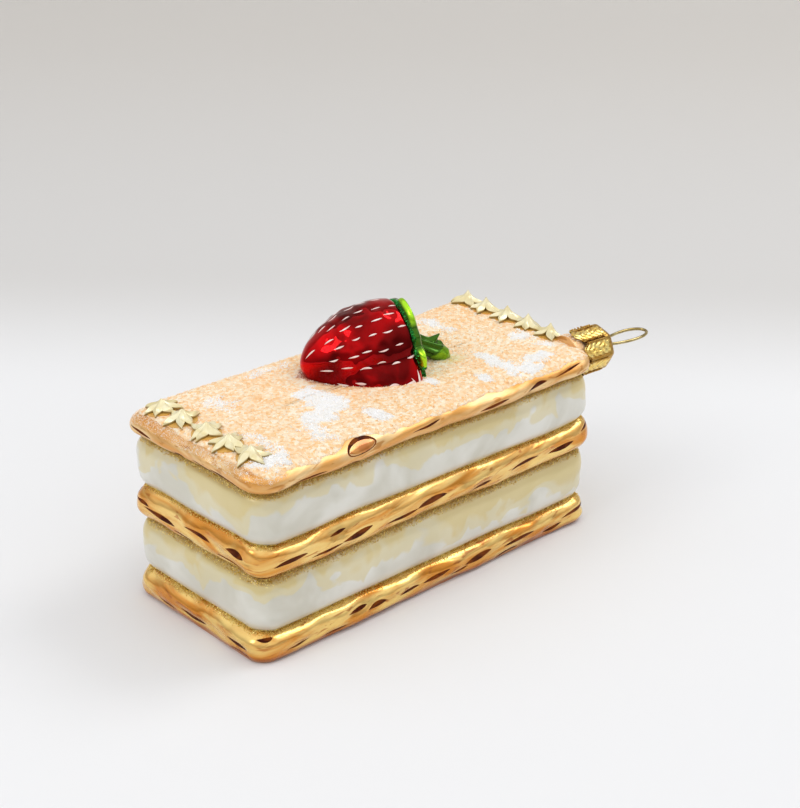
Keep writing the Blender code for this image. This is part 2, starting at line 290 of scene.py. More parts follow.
def lay_out_strokes(table):
    """The brown strokes round a pastry layer: share round, height, length, width and slant. Each is
    given by its distance in mm from the front left corner, and drawn again on the opposite side."""
    round_length = plan_length(PASTRY_CORNER)
    corner_share = 0.5 + PASTRY_CORNER * math.pi / 4 / round_length
    strokes = []
    for distance, height, length, width in table:
        slant = STROKE_SLANT if distance > 0.0 else -STROKE_SLANT
        for opposite in (0.0, 0.5):
            share = (corner_share + distance * MM / round_length + opposite) % 1.0
            strokes.append((share, height, length * MM, width * MM, slant))
    return strokes


def stroke_press(strokes, layer, share, height):
    """How deep the strokes' hollows are pressed at a point of the side."""
    round_length = plan_length(PASTRY_CORNER)
    layer_height = BOUNDARIES[layer + 1] - BOUNDARIES[layer]
    depth = 0.0
    for centre, level, length, width, slant in strokes:
        along = ((share - centre + 0.5) % 1.0 - 0.5) * round_length
        if abs(along) > length:
            continue
        up = (height - level) * layer_height
        over = up * math.cos(slant) - along * math.sin(slant)
        depth = max(depth, math.exp(-((2.0 * along / length) ** 4) - (0.9 * over / width) ** 2))
    return depth * STROKE_PRESS


def along_band(share, z):
    """A place on a drum as long round as the slice, so that a pattern can run round it unbroken. It
    sinks slowly with the distance from the front left corner, which gives the pattern its slant."""
    drum_radius = plan_length(PASTRY_CORNER) / (2.0 * math.pi)
    angle = 2.0 * math.pi * share
    sunk = z - BAND_SLANT * abs(from_front_corner(share))
    return Vector((drum_radius * math.cos(angle), drum_radius * math.sin(angle), sunk))


def hollows(share, z, layer):
    """The mould's own unevenness: long low hollows, with a few finer ones."""
    band = along_band(share, z)
    seat = Vector((band.x / HOLLOW_LENGTH, band.y / HOLLOW_LENGTH, band.z / HOLLOW_HEIGHT + 7 * layer))
    return HOLLOW_DEPTH * (noise.noise(seat) + 0.25 * noise.noise(seat * 2.1))


def make_pastry(name, layer, strokes, rings=0, cover=None):
    """A pastry bar from a drum, pressed with its hollows."""
    bar = drum(name, PASTRY_COLUMNS, PASTRY_LEVELS, rings)
    shares = [share_round(vert) for vert in bar.data.vertices]

    def place(share, height, reach):
        point, out = on_side(layer, share, height)
        fade = min(1.0, (6.0 if layer else 8.0) * height, 6.0 * (1.0 - height))
        press = hollows(share, point.z, layer) + stroke_press(strokes, layer, share, height)
        press *= fade
        point = point - Vector((out.x, out.y, 0.0)) * press
        return cover(point, reach) if cover and reach < 0.999 else point

    shape(bar, place)
    band = bar.data.attributes.new("band", "FLOAT_VECTOR", "POINT")
    for vert, share in zip(bar.data.vertices, shares):
        band.data[vert.index].vector = along_band(share, vert.co.z)
    smooth(bar, 50.0)
    return bar


def tint(red, green, blue):
    """A colour as on a paint chart, 0 to 255, in the linear values that shaders use."""
    return (*((part / 255.0) ** 2.2 for part in (red, green, blue)), 1.0)


def add(tree, kind, inputs=None, **settings):
    """A node with its settings made and its inputs set or linked."""
    made = tree.nodes.new(kind)
    for name, value in settings.items():
        setattr(made, name, value)
    for name, value in (inputs or {}).items():
        if isinstance(value, bpy.types.NodeSocket):
            tree.links.new(value, made.inputs[name])
        else:
            made.inputs[name].default_value = value
    return made


def mixed(tree, factor, first, second, blend="MIX"):
    """One colour over another by a factor."""
    made = add(tree, "ShaderNodeMix", {0: factor, 6: first, 7: second}, data_type="RGBA", blend_type=blend)
    return made.outputs[2]


def math_node(tree, operation, *values):
    made = add(tree, "ShaderNodeMath", dict(enumerate(values)), operation=operation)
    return made.outputs[0]


def eased(tree, value, low, high):
    """0 below low, 1 above high, and smooth between."""
    made = add(
        tree,
        "ShaderNodeMapRange",
        {"Value": value, "From Min": low, "From Max": high},
        interpolation_type="SMOOTHSTEP",
    )
    return made.outputs[0]


def own_coordinates(tree, scale=(1.0, 1.0, 1.0)):
    place = add(tree, "ShaderNodeTexCoord")
    moved = add(tree, "ShaderNodeMapping", {"Vector": place.outputs["Object"], "Scale": scale})
    return moved.outputs["Vector"]


def start_material(name, **values):
    """A material with its shader's plain values set, and what is needed to build on it."""
    material = bpy.data.materials.new(name)
    material.use_nodes = True
    tree = material.node_tree
    shader = tree.nodes["Principled BSDF"]
    for key, value in values.items():
        shader.inputs[key.replace("_", " ")].default_value = value
    return material, tree, shader


def start_group(name, inputs, outputs):
    """A shader node group with its named sockets, and the nodes at its two ends."""
    group = bpy.data.node_groups.new(name, "ShaderNodeTree")
    for way, sockets in (("INPUT", inputs), ("OUTPUT", outputs)):
        for socket, kind in sockets.items():
            group.interface.new_socket(socket, in_out=way, socket_type=f"NodeSocket{kind}")
    return group, group.nodes.new("NodeGroupInput"), group.nodes.new("NodeGroupOutput")


def cloudy(tree, vector, scale, detail, distortion=0.0):
    """A cloudy pattern, from 0 to 1."""
    inputs = {"Vector": vector, "Scale": scale, "Detail": detail, "Distortion": distortion}
    return add(tree, "ShaderNodeTexNoise", inputs).outputs["Fac"]


def make_uneven_spray():
    """Sprayed colour that lies thin in some places and thick in others."""
    group, ins, outs = start_group(
        "uneven_spray",
        {"Vector": "Vector", "Thin": "Color", "Thick": "Color", "Size": "Float", "Contrast": "Float"},
        {"Color": "Color", "Amount": "Float"},
    )
    cloud = cloudy(group, ins.outputs["Vector"], ins.outputs["Size"], 3.0, 0.6)
    low = math_node(group, "SUBTRACT", 0.5, ins.outputs["Contrast"])
    high = math_node(group, "ADD", 0.5, ins.outputs["Contrast"])
    amount = eased(group, cloud, low, high)
    colour = mixed(group, amount, ins.outputs["Thin"], ins.outputs["Thick"])
    group.links.new(colour, outs.inputs["Color"])
    group.links.new(amount, outs.inputs["Amount"])
    return group


uneven_spray = make_uneven_spray()


def sprayed(tree, thin, thick, size, contrast, vector=None):
    """Unevenly sprayed colour between two tints."""
    inputs = {"Thin": tint(*thin), "Thick": tint(*thick), "Size": size, "Contrast": contrast}
    inputs["Vector"] = own_coordinates(tree) if vector is None else vector
    return add(tree, "ShaderNodeGroup", inputs, node_tree=uneven_spray)


def height_here(tree):
    place = add(tree, "ShaderNodeTexCoord")
    return add(tree, "ShaderNodeSeparateXYZ", {"Vector": place.outputs["Object"]}).outputs["Z"]


def laid_over(tree, mask, strength, under, over):
    """One colour over another where a mask is, as thick as its strength."""
    return mixed(tree, math_node(tree, "MULTIPLY", mask, strength), under, over)


def give_colour(tree, shader, colour):
    tree.links.new(colour, shader.inputs["Base Color"])


def give_bump(tree, shader, strength, distance, height):
    bump = add(tree, "ShaderNodeBump", {"Strength": strength, "Distance": distance, "Height": height})
    tree.links.new(bump.outputs["Normal"], shader.inputs["Normal"])


def make_pastry_lacquer(name, thin, thick, low_edge, low_colour, roughness=0.2):
    """Gold-brown lacquer on silvered glass, streaked along the layer and deeper at its foot."""
    material, tree, shader = start_material(
        name, Metallic=0.65, Roughness=roughness, Coat_Weight=0.4, Coat_Roughness=0.06
    )
    band = add(tree, "ShaderNodeAttribute", attribute_name="band")
    run = add(tree, "ShaderNodeMapping", {"Vector": band.outputs["Vector"], "Scale": (1.0, 1.0, 5.0)})
    run = run.outputs["Vector"]
    spray = sprayed(tree, thin, thick, 62.0, 0.15, run)
    below = math_node(tree, "SUBTRACT", 1.0, eased(tree, height_here(tree), low_edge - 1.6 * MM, low_edge))
    colour = laid_over(tree, below, 0.8, spray.outputs["Color"], tint(*low_colour))
    lines = eased(tree, cloudy(tree, run, 170.0, 2.0, 0.8), 0.60, 0.70)
    give_colour(tree, shader, laid_over(tree, lines, 0.7, colour, tint(*low_colour)))
    give_bump(tree, shader, 0.16, 0.5 * MM, spray.outputs["Amount"])
    return material


def finish_piece(piece, material, node="glass_body"):
    """Gives a piece its material, sets it on the root body, and hides the model's part that it takes the
    place of.
    """
    piece.data.materials.clear()
    piece.data.materials.append(material)
    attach(piece, "root")
    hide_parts(node)


bottom_strokes = lay_out_strokes(BOTTOM_STROKES)
pastry_bottom = make_pastry("pastry_bottom", 0, bottom_strokes)
bottom_lacquer = make_pastry_lacquer(
    "bottom_lacquer", (248, 210, 122), (216, 136, 34), 2.4 * MM, (168, 84, 8)
)
finish_piece(pastry_bottom, bottom_lacquer)


# The two cream layers ----------------------------------------------------------------------------
# Soft bulging bands of the same glass, sprayed with white pearl lacquer that fogs the silvering. A
# thin wash of pale yellow is brushed over the upper half, and runs down in ragged patches.

CREAM_COLUMNS, CREAM_LEVELS = 520, 26
CREAM_LUMP = 14.0 * MM
CREAM_LUMP_DEPTH = 0.38 * MM
CREAM_TUCK = 0.5 * MM


def make_cream(name, layer):
    """A cream band from a drum, tucked a little way into the pastry above and below."""
    band = drum(name, CREAM_COLUMNS, CREAM_LEVELS)

    def place(share, height, reach):
        point, out = on_side(layer, share, height)
        seat = Vector((point.x / CREAM_LUMP, point.y / CREAM_LUMP, point.z / (0.6 * CREAM_LUMP) + layer))
        fade = 4.0 * height * (1.0 - height)
        lump = CREAM_LUMP_DEPTH * fade * (noise.noise(seat) + 0.3 * noise.noise(seat * 2.7))
        point = point + Vector((out.x, out.y, 0.0)) * lump
        if height < 0.001 or height > 0.999:
            point -= Vector((out.x, out.y, 0.0)) * CREAM_TUCK
            point.z += CREAM_TUCK if height > 0.5 else -CREAM_TUCK
        return point

    shape(band, place)
    smooth(band, 60.0)
    return band


def make_pearl(name, foot, head):
    """White pearl lacquer with a yellow wash down from the head of the layer."""
    material, tree, shader = start_material(
        name, Metallic=0.18, Coat_Weight=0.35, Coat_Roughness=0.12, Roughness=0.34
    )
    spray = sprayed(tree, (208, 204, 188), (231, 229, 219), 60.0, 0.18)
    share = add(
        tree, "ShaderNodeMapRange", {"Value": height_here(tree), "From Min": foot, "From Max": head}
    ).outputs[0]
    ragged = cloudy(tree, own_coordinates(tree, (1.0, 1.0, 1.1)), 95.0, 2.5, 0.7)
    broad = cloudy(tree, own_coordinates(tree), 28.0, 1.0)
    reach = math_node(tree, "MULTIPLY_ADD", ragged, 1.3, share)
    reach = math_node(tree, "MULTIPLY_ADD", broad, 1.2, reach)
    wash, deeper = eased(tree, reach, 1.72, 1.80), eased(tree, reach, 1.90, 2.08)
    colour = laid_over(tree, wash, 0.62, spray.outputs["Color"], tint(222, 206, 150))
    colour = laid_over(tree, deeper, 0.5, colour, tint(216, 190, 108))
    # Some of the pastry's gold seeps into both edges under the glitter.
    into_edge = math_node(tree, "ABSOLUTE", math_node(tree, "SUBTRACT", share, 0.46))
    seep = math_node(tree, "MULTIPLY_ADD", ragged, 0.12, into_edge)
    colour = laid_over(tree, eased(tree, seep, 0.47, 0.56), 0.7, colour, tint(172, 136, 54))
    # A few specks of dust are caught in the lacquer.
    dots = add(tree, "ShaderNodeTexVoronoi", {"Vector": own_coordinates(tree), "Scale": 170.0})
    speck = math_node(tree, "LESS_THAN", dots.outputs["Distance"], 0.045)
    rare = add(tree, "ShaderNodeSeparateColor", {"Color": dots.outputs["Color"]})
    speck = math_node(tree, "MULTIPLY", speck, math_node(tree, "GREATER_THAN", rare.outputs["Red"], 0.86))
    give_colour(tree, shader, laid_over(tree, speck, 0.7, colour, tint(120, 112, 96)))
    give_bump(tree, shader, 0.25, 0.6 * MM, cloudy(tree, own_coordinates(tree, (1.0, 1.0, 2.5)), 110.0, 4.0))
    return material


for name, layer in (("cream_lower", 1), ("cream_upper", 3)):
    band = make_cream(name, layer)
    pearl = make_pearl(f"{name}_pearl", BOUNDARIES[layer], BOUNDARIES[layer + 1])
    finish_piece(band, pearl)


# The middle pastry layer -------------------------------------------------------------------------
# Made as the bottom one, a little proud of the cream and rounded on both edges.

middle_strokes = lay_out_strokes(MIDDLE_STROKES)
pastry_middle = make_pastry("pastry_middle", 2, middle_strokes)
middle_lacquer = make_pastry_lacquer(
    "middle_lacquer", (250, 212, 126), (220, 142, 40), BOUNDARIES[2] + 1.6 * MM, (180, 98, 8)
)
finish_piece(pastry_middle, middle_lacquer)


# The top pastry layer ----------------------------------------------------------------------------
# The same glass again, with a rim that slopes up to a gently crowned top. Its cap end has a flat
# seat round the neck, where the crown cap sits.

TOP_RINGS = 30
TOP_CROWN = 0.5 * MM
SHOULDER_INSET = 4.0 * MM
CROWN_INSET = 10.0 * MM
NECK_CENTRE = Vector((52.7, -16.4, 44.5)) * MM
SEAT_BACK = 0.9 * MM
SEAT_RADIUS = 5.9 * MM
SEAT_EDGE = 1.2 * MM
SEAT_FAR_EDGE = 3.6 * MM


def towards_middle(point, reach):
    """A point of the slice's end or side drawn in towards the line along its middle."""
    core = max(-1.0, min(1.0, point.x / (SLICE_LENGTH / 2 - SLICE_WIDTH / 2)))
    core = Vector((core * (SLICE_LENGTH / 2 - SLICE_WIDTH / 2), 0.0, point.z))
    return core.lerp(point, reach)


def crowned(point, reach):
    """The top inside the rim: drawn in, levelled and raised to its crown."""
    inward = (1.0 - reach) * SLICE_WIDTH / 2
    place = towards_middle(point, reach)
    level = min(1.0, inward / CROWN_INSET)
    crown = TOP_CROWN * min(1.0, 0.6 * inward / SHOULDER_INSET, 0.35 + 0.65 * level)
    place.z = point.z + (BOUNDARIES[5] - point.z) * level + crown
    return place


def press_seat(piece):
    """Pushes the end of the top layer back to a flat round seat for the neck."""
    for vert in piece.data.vertices:
        if vert.co.x < NECK_CENTRE.x - 3.0 * MM:
            continue
        away = math.hypot(vert.co.y - NECK_CENTRE.y, vert.co.z - NECK_CENTRE.z)
        far = max(0.0, min(1.0, (vert.co.y - NECK_CENTRE.y) / SEAT_RADIUS))
        ease = max(0.0, min(1.0, (away - SEAT_RADIUS) / (SEAT_EDGE + (SEAT_FAR_EDGE - SEAT_EDGE) * far)))
        ease = ease * ease * (3.0 - 2.0 * ease)
        back = NECK_CENTRE.x - SEAT_BACK
        if vert.co.x > back:
            vert.co.x = back + (vert.co.x - back) * ease


top_strokes = lay_out_strokes(TOP_STROKES)
pastry_top = make_pastry("pastry_top", 4, top_strokes, TOP_RINGS, crowned)
press_seat(pastry_top)
press_seat(bpy.data.objects["cream_upper"])
top_lacquer = make_pastry_lacquer(
    "top_lacquer", (244, 208, 148), (226, 160, 78), BOUNDARIES[4] + 1.6 * MM, (190, 116, 24), 0.42
)
finish_piece(pastry_top, top_lacquer)


# The neck ----------------------------------------------------------------------------------------
# The short glass tube that the ornament was blown through. It flares where it joins the slice, and
# only its root shows under the cap's petals.

NECK_YAW = math.radians(-4.0)
NECK_RADIUS = 4.0 * MM
NECK_LENGTH = 9.3 * MM
NECK_SUNK = 2.5 * MM
NECK_FLARE = 1.3 * MM
NECK_FLARE_LENGTH = 2.5 * MM


def along_neck(place):
    """A place laid out along +X from the seat, turned to the neck's direction."""
    return NECK_CENTRE + Matrix.Rotation(NECK_YAW, 3, "Z") @ place


neck = drum("neck", 48, 10)


def neck_place(share, height, reach):
    around = 2.0 * math.pi * share
    along = -NECK_SUNK + (NECK_LENGTH + NECK_SUNK) * height
    radius = NECK_RADIUS + NECK_FLARE * max(0.0, 1.0 - max(0.0, along) / NECK_FLARE_LENGTH) ** 2
    return along_neck(Vector((along, radius * math.cos(around), radius * math.sin(around))))


shape(neck, neck_place)
band = neck.data.attributes.new("band", "FLOAT_VECTOR", "POINT")
for vert in neck.data.vertices:
    band.data[vert.index].vector = vert.co
smooth(neck)
neck_lacquer = make_pastry_lacquer("neck_lacquer", (242, 204, 150), (228, 172, 106), 0.0, (190, 130, 60), 0.5)
finish_piece(neck, neck_lacquer)


# The brown strokes -------------------------------------------------------------------------------
# Strokes of thick dark-brown enamel in the hollows of the pastry, drawn with a fine brush so that
# they taper at both ends. One more is curled into an oval on the rim of the long side.

STROKE_THICKNESS = 0.09 * MM
STROKE_SIDES, STROKE_RINGS = 20, 14


def ray_tree(*pieces):
    """What rays are cast at, for laying paint and grains on finished pieces."""
    verts, faces = [], []
    for piece in pieces:
        start = len(verts)
        verts += [vert.co.copy() for vert in piece.data.vertices]
        faces += [[start + index for index in face.vertices] for face in piece.data.polygons]
    return BVHTree.FromPolygons(verts, faces)


def join(name, pieces):
    """Makes one piece of many like ones."""
    select_nothing()
    for piece in pieces:
        piece.select_set(True)
    bpy.context.view_layer.objects.active = pieces[0]
    if len(pieces) > 1:
        bpy.ops.object.join()
    pieces[0].name = pieces[0].data.name = name
    return pieces[0]


def ball_on_x(name, segments, rings):
    """A ball with its poles on X."""
    select_nothing()
    bpy.ops.mesh.primitive_uv_sphere_add(
        segments=segments, ring_count=rings, radius=1.0, rotation=(0.0, math.radians(90.0), 0.0)
    )
    return take_new(name)


def copy_of(piece, name):
    made = piece.copy()
    made.data = piece.data.copy()
    made.name = made.data.name = name
    bpy.context.scene.collection.objects.link(made)
    return made


def paint_stroke(blank, surface, start_of, width, length, thickness, bend=0.0):
    """A copy of the blank laid on a surface. start_of(along, across) gives a ray's start and way."""
    stroke = copy_of(blank, "stroke")
    for vert in stroke.data.vertices:
        along, across, up = vert.co
        taper = (1.0 + 0.25 * along) * max(0.0, 1.0 - abs(along) ** 1.6) ** 0.35
        across = across * taper * width / 2 + bend * (along * along - 0.5)
        start, way = start_of(along * length / 2, across)
        hit, normal, _, _ = surface.ray_cast(start, way)
        if hit is None:
            hit, normal = start, -way
        vert.co = hit + normal * up * thickness
    return stroke


def side_ray(layer, share, height, slant):
    """Rays at a layer's side round a place, turned by the stroke's slant."""
    round_length = plan_length(PASTRY_CORNER)
    layer_height = BOUNDARIES[layer + 1] - BOUNDARIES[layer]

    def start_of(along, across):
        run = along * math.cos(slant) - across * math.sin(slant)
        rise = along * math.sin(slant) + across * math.cos(slant)
        level = height + rise / layer_height
        point, out = on_side(layer, (share + run / round_length) % 1.0, max(0.02, min(0.98, level)))
        out = Vector((out.x, out.y, 0.0))
        return point + out * 6.0 * MM, -out

    return start_of


def make_lacquer(name, thin, thick, size, contrast, stretch=(1.0, 1.0, 1.0), **values):
    """A lacquer, an enamel or a metal whose colour is uneven all over."""
    material, tree, shader = start_material(name, **values)
    spray = sprayed(tree, thin, thick, size, contrast, own_coordinates(tree, stretch))
    give_colour(tree, shader, spray.outputs["Color"])
    return material


enamel = make_lacquer(
    "brown_enamel",
    (122, 60, 8),
    (66, 24, 0),
    210.0,
    0.15,
    (1.0, 1.0, 2.0),
    Roughness=0.5,
    Specular_IOR_Level=0.08,
)
blank = ball_on_x("stroke_blank", STROKE_SIDES, STROKE_RINGS)
for name, layer, pastry, strokes in (
    ("strokes_bottom", 0, pastry_bottom, bottom_strokes),
    ("strokes_middle", 2, pastry_middle, middle_strokes),
    ("strokes_top", 4, pastry_top, top_strokes),
):
    surface = ray_tree(pastry)
    chance = random.Random(layer + 5)
    laid = []
    for share, height, length, width, slant in strokes:
        bend = chance.uniform(-0.35, 0.35) * MM
        rays = side_ray(layer, share, height, slant)
        laid.append(paint_stroke(blank, surface, rays, width, length, STROKE_THICKNESS, bend))
    painted = join(name, laid)
    smooth(painted, 60.0)
    finish_piece(painted, enamel)

OVAL_PLACE = 25.6 * MM
OVAL_HEIGHT = 0.70
OVAL_LENGTH = 8.4 * MM
OVAL_WIDTH = 2.3 * MM
oval_run = PASTRY_CORNER * math.pi / 2 + SLICE_LENGTH / 2 - PASTRY_CORNER - OVAL_PLACE
oval_share = 0.5 + oval_run / plan_length(PASTRY_CORNER)
oval_rays = side_ray(4, oval_share, OVAL_HEIGHT, math.radians(3.0))
top_surface = ray_tree(pastry_top)

select_nothing()
bpy.ops.mesh.primitive_torus_add(major_segments=72, minor_segments=10, major_radius=1.0, minor_radius=0.2)
oval = take_new("oval_outline")
for vert in oval.data.vertices:
    reach = math.hypot(vert.co.x, vert.co.y)
    off, up = reach - 1.0, vert.co.z
    weight = 0.75 + 0.35 * vert.co.y
    across = vert.co.y / reach * OVAL_WIDTH / 2 + vert.co.y / reach * off * weight * 1.1 * MM
    along = vert.co.x / reach * OVAL_LENGTH / 2 + vert.co.x / reach * off * weight * 1.6 * MM
    start, way = oval_rays(along, across)
    hit, normal, _, _ = top_surface.ray_cast(start, way)
    vert.co = hit + normal * up * 0.5 * MM
smooth(oval, 60.0)
finish_piece(oval, enamel)

oval_fill = paint_stroke(blank, top_surface, oval_rays, OVAL_WIDTH * 0.95, OVAL_LENGTH * 0.95, 0.05 * MM)
oval_fill.name = oval_fill.data.name = "oval_fill"
smooth(oval_fill, 60.0)
amber = make_lacquer(
    "amber_lacquer", (222, 156, 76), (188, 108, 36), 300.0, 0.2, Metallic=0.4, Roughness=0.2, Coat_Weight=0.6
)
finish_piece(oval_fill, amber)


# The sugar ---------------------------------------------------------------------------------------
# A coat of fine peach-coloured glitter stuck over the whole top, inside a rim left bare. White
# grains lie on it in loose drifts, and a little of the berry's red is sprayed round its foot,
# where a red-brown shadow is painted as well.

SUGAR_COLUMNS, SUGAR_RINGS = 620, 58
SUGAR_COAT = 0.22 * MM
SUGAR_GRAIN = 0.10 * MM
SUGAR_EDGE = 0.3 * MM
SUGAR_END_EDGE = 1.3 * MM
SUGAR_CAP_REACH = 0.8 * MM
SUGAR_OVAL_NOTCH = 1.5 * MM
# Drifts of white grains: middle, half sizes and how thick they lie.
DRIFTS = (
    (-19.5, -3.5, 5.0, 9.5, 1.1),
    (-25.5, -9.0, 5.0, 4.5, 1.0),
    (-31.0, -15.5, 4.5, 6.0, 0.62),
    (-14.5, -17.0, 3.0, 4.0, 0.75),
    (-47.5, -19.0, 5.5, 4.5, 1.05),
    (-43.5, -13.0, 3.0, 8.0, 0.45),
    (-39.0, 9.5, 5.0, 6.0, 0.42),
    (-17.0, 18.5, 10.0, 3.0, 0.40),
    (7.5, -12.5, 1.8, 3.0, 0.6),
    (19.0, -18.5, 2.4, 4.0, 0.8),
    (27.5, -15.0, 3.0, 8.0, 0.95),
    (32.5, -20.5, 4.0, 3.0, 1.0),
    (38.0, -18.0, 5.5, 2.8, 0.95),
    (43.5, -5.5, 5.0, 4.0, 0.7),
    (33.0, 13.5, 4.0, 7.0, 0.55),
    (45.5, -14.0, 4.0, 2.5, 0.5),
)
BERRY_TIP = Vector((-14.1, 10.3, 51.0)) * MM
BERRY_YAW = math.radians(-19.3)
BERRY_PITCH = math.radians(8.3)
BERRY_LENGTH = 27.4 * MM
BERRY_RADIUS = 10.8 * MM
BERRY_WIDEST = 0.7
BERRY_TIP_FULLNESS = 0.65
BERRY_FOOT = 0.5
BERRY_FLARE = 0.5
BERRY_END_DEPTH = 0.62
BERRY_END_ROUND = 0.12


def berry_radius(share):
    """The berry's radius at a share of its length from the tip."""
    if share < BERRY_WIDEST:
        return BERRY_RADIUS * (1.0 - (1.0 - share / BERRY_WIDEST) ** 2) ** BERRY_TIP_FULLNESS
    over = max(0.0, share - 1.0 + BERRY_END_ROUND) / BERRY_END_ROUND
    rounded = math.sqrt(max(0.0, 1.0 - over**3))
    past = (share - BERRY_WIDEST) / BERRY_END_DEPTH
    return BERRY_RADIUS * rounded * math.sqrt(max(0.0, 1.0 - past**2))


def berry_foot(around, share):
    """How much further out the berry stands below its middle, where it runs straight down."""
    level, down = abs(math.cos(around)), max(0.0, -math.sin(around))
    if down == 0.0:
        return 1.0
    flare = BERRY_FLARE * down * max(0.0, min(1.0, (share - 0.1) / 0.5))
    return (1.0 + BERRY_FOOT * down**2 + flare) / (level**4 + down**4) ** 0.25


def drift(x, y):
    """How thick the white grains lie at a place on the top, from 0 to about 1."""
    seat = Vector((x / (3.2 * MM), y / (3.2 * MM), 0.5))
    wobble = 0.55 * noise.noise(seat) + 0.3 * noise.noise(seat * 2.3)
    thickness = 0.0
    for middle_x, middle_y, half_x, half_y, weight in DRIFTS:
        away = math.hypot((x / MM - middle_x) / half_x, (y / MM - middle_y) / half_y)
        thickness = max(thickness, weight * (1.15 - away + wobble))
    return max(0.0, min(1.0, thickness))


def near_berry(x, y):
    """The distance from the berry's foot, as the top shows it."""
    yaw = Matrix.Rotation(-BERRY_YAW, 2)
    local = yaw @ Vector((x - BERRY_TIP.x, y - BERRY_TIP.y))
    share = local.x / BERRY_LENGTH
    if share < 0.0 or share > 1.0:
        return min(math.hypot(local.x, local.y), math.hypot(local.x - BERRY_LENGTH, local.y))
    return abs(local.y) - 1.04 * berry_radius(share)


def drop_onto(surface, x, y):
    """The surface straight below a place, and its normal."""
    hit, normal, _, _ = surface.ray_cast(Vector((x, y, 0.1)), Vector((0.0, 0.0, -1.0)))
    return hit, normal


sugar = drum("sugar_top", SUGAR_COLUMNS, 2, SUGAR_RINGS)


def sugar_place(share, height, reach):
    point, out, _ = go_round(share, PASTRY_CORNER)
    seat = Vector((point.x / (6.0 * MM), point.y / (6.0 * MM), 0.0))
    edge = SUGAR_EDGE + (SUGAR_END_EDGE - SUGAR_EDGE) * max(0.0, -out.x) ** 2
    edge -= SUGAR_CAP_REACH * max(0.0, out.x) ** 2
    edge += 0.9 * MM * noise.noise(seat) + 0.4 * MM * noise.noise(seat * 3.7)
    from_oval = ((share - oval_share + 0.5) % 1.0 - 0.5) * plan_length(PASTRY_CORNER)
    edge += SUGAR_OVAL_NOTCH * math.exp(-((from_oval / (5.0 * MM)) ** 4))
    place = towards_middle(leaned(Vector((*(point - out * edge), BOUNDARIES[5]))), reach)
    beside = max(0.0, abs(place.y - NECK_CENTRE.y) - 4.8 * MM)
    slope = 0.8 if place.y > NECK_CENTRE.y else 3.0
    place.x = min(place.x, NECK_CENTRE.x - SEAT_BACK - 0.4 * MM + slope * beside)
    hit, _ = drop_onto(top_surface, place.x, place.y)
    while hit is None:
        place.x -= 0.3 * MM
        hit, _ = drop_onto(top_surface, place.x, place.y)
    lift = SUGAR_COAT * min(1.0, 0.35 + (1.0 - reach) * 30.0)
    rough = noise.noise(Vector((place.x, place.y, 0.0)) / (0.7 * MM))
    rough += 0.8 * noise.noise(Vector((place.x, place.y, 9.0 * MM)) / (2.6 * MM))
    heap = drift(place.x, place.y)
    place.z = hit.z + lift + SUGAR_GRAIN * rough + 0.25 * MM * heap * min(1.0, (1.0 - reach) * 20.0)
    if height < 0.99:
        place.z = hit.z - (0.35 * MM if height < 0.01 else -0.05 * MM)
    return place


shape(sugar, sugar_place)
smooth(sugar, 70.0)

masks = {
    name: sugar.data.attributes.new(name, "FLOAT", "POINT") for name in ("powder", "berry_spray_and_shade", "leaf_spray")
}
LEAF_SPRAY = Vector((21.0, -5.5)) * MM
for vert in sugar.data.vertices:
    x, y = vert.co.x, vert.co.y
    masks["powder"].data[vert.index].value = drift(x, y)
    # Round the berry's foot: where its red spray and a painted red-brown shadow lie.
    masks["berry_spray_and_shade"].data[vert.index].value = max(0.0, 1.0 - max(0.0, near_berry(x, y)) / (3.2 * MM))
    spread = math.hypot(x - LEAF_SPRAY.x, (y - LEAF_SPRAY.y) * 1.4) / (4.5 * MM)
    masks["leaf_spray"].data[vert.index].value = max(0.0, 1.0 - spread)


def make_grain_tones():
    """A tone that changes from grain to grain, between two colours, and the grains' edges."""
    group, ins, outs = start_group(
        "grain_tones",
        {"Vector": "Vector", "Pale": "Color", "Deep": "Color", "Grains": "Float"},
        {"Color": "Color", "Edge": "Float"},
    )
    cells = add(
        group, "ShaderNodeTexVoronoi", {"Vector": ins.outputs["Vector"], "Scale": ins.outputs["Grains"]}
    )
    split = add(group, "ShaderNodeSeparateColor", {"Color": cells.outputs["Color"]})
    colour = mixed(group, split.outputs["Red"], ins.outputs["Pale"], ins.outputs["Deep"])
    group.links.new(colour, outs.inputs["Color"])
    group.links.new(cells.outputs["Distance"], outs.inputs["Edge"])
    return group


grain_tones = make_grain_tones()


def grained(tree, pale, deep, grains):
    """The grain tones between two tints, with so many grains to the metre."""
    inputs = {"Vector": own_coordinates(tree), "Pale": tint(*pale), "Deep": tint(*deep), "Grains": grains}
    return add(tree, "ShaderNodeGroup", inputs, node_tree=grain_tones)


def painted_mask(tree, name):
    """A value stored on the piece's points."""
    return add(tree, "ShaderNodeAttribute", attribute_name=name).outputs["Fac"]


peach, tree, shader = start_material("peach_glitter", Roughness=0.45)
grains = grained(tree, (255, 248, 228), (248, 204, 144), 1500.0)
broad = sprayed(tree, (255, 253, 250), (255, 240, 222), 90.0, 0.2)
colour = mixed(tree, 1.0, grains.outputs["Color"], broad.outputs["Color"], "MULTIPLY")
speckle = cloudy(tree, own_coordinates(tree), 900.0, 3.0)
cover = math_node(tree, "MULTIPLY_ADD", painted_mask(tree, "powder"), 1.1, speckle)
colour = mixed(tree, eased(tree, cover, 0.92, 1.04), colour, tint(255, 254, 250))
# Painted shadow and sprayed red round the berry's foot, laid on as one dark red-brown.
red_spray_and_shade = math_node(tree, "MULTIPLY_ADD", painted_mask(tree, "berry_spray_and_shade"), 0.9, speckle)
colour = laid_over(tree, eased(tree, red_spray_and_shade, 0.80, 1.4), 0.85, colour, tint(160, 70, 52))
colour = laid_over(tree, painted_mask(tree, "leaf_spray"), 0.45, colour, tint(190, 210, 120))
give_colour(tree, shader, colour)
give_bump(tree, shader, 0.8, 0.25 * MM, grains.outputs["Edge"])
finish_piece(sugar, peach)


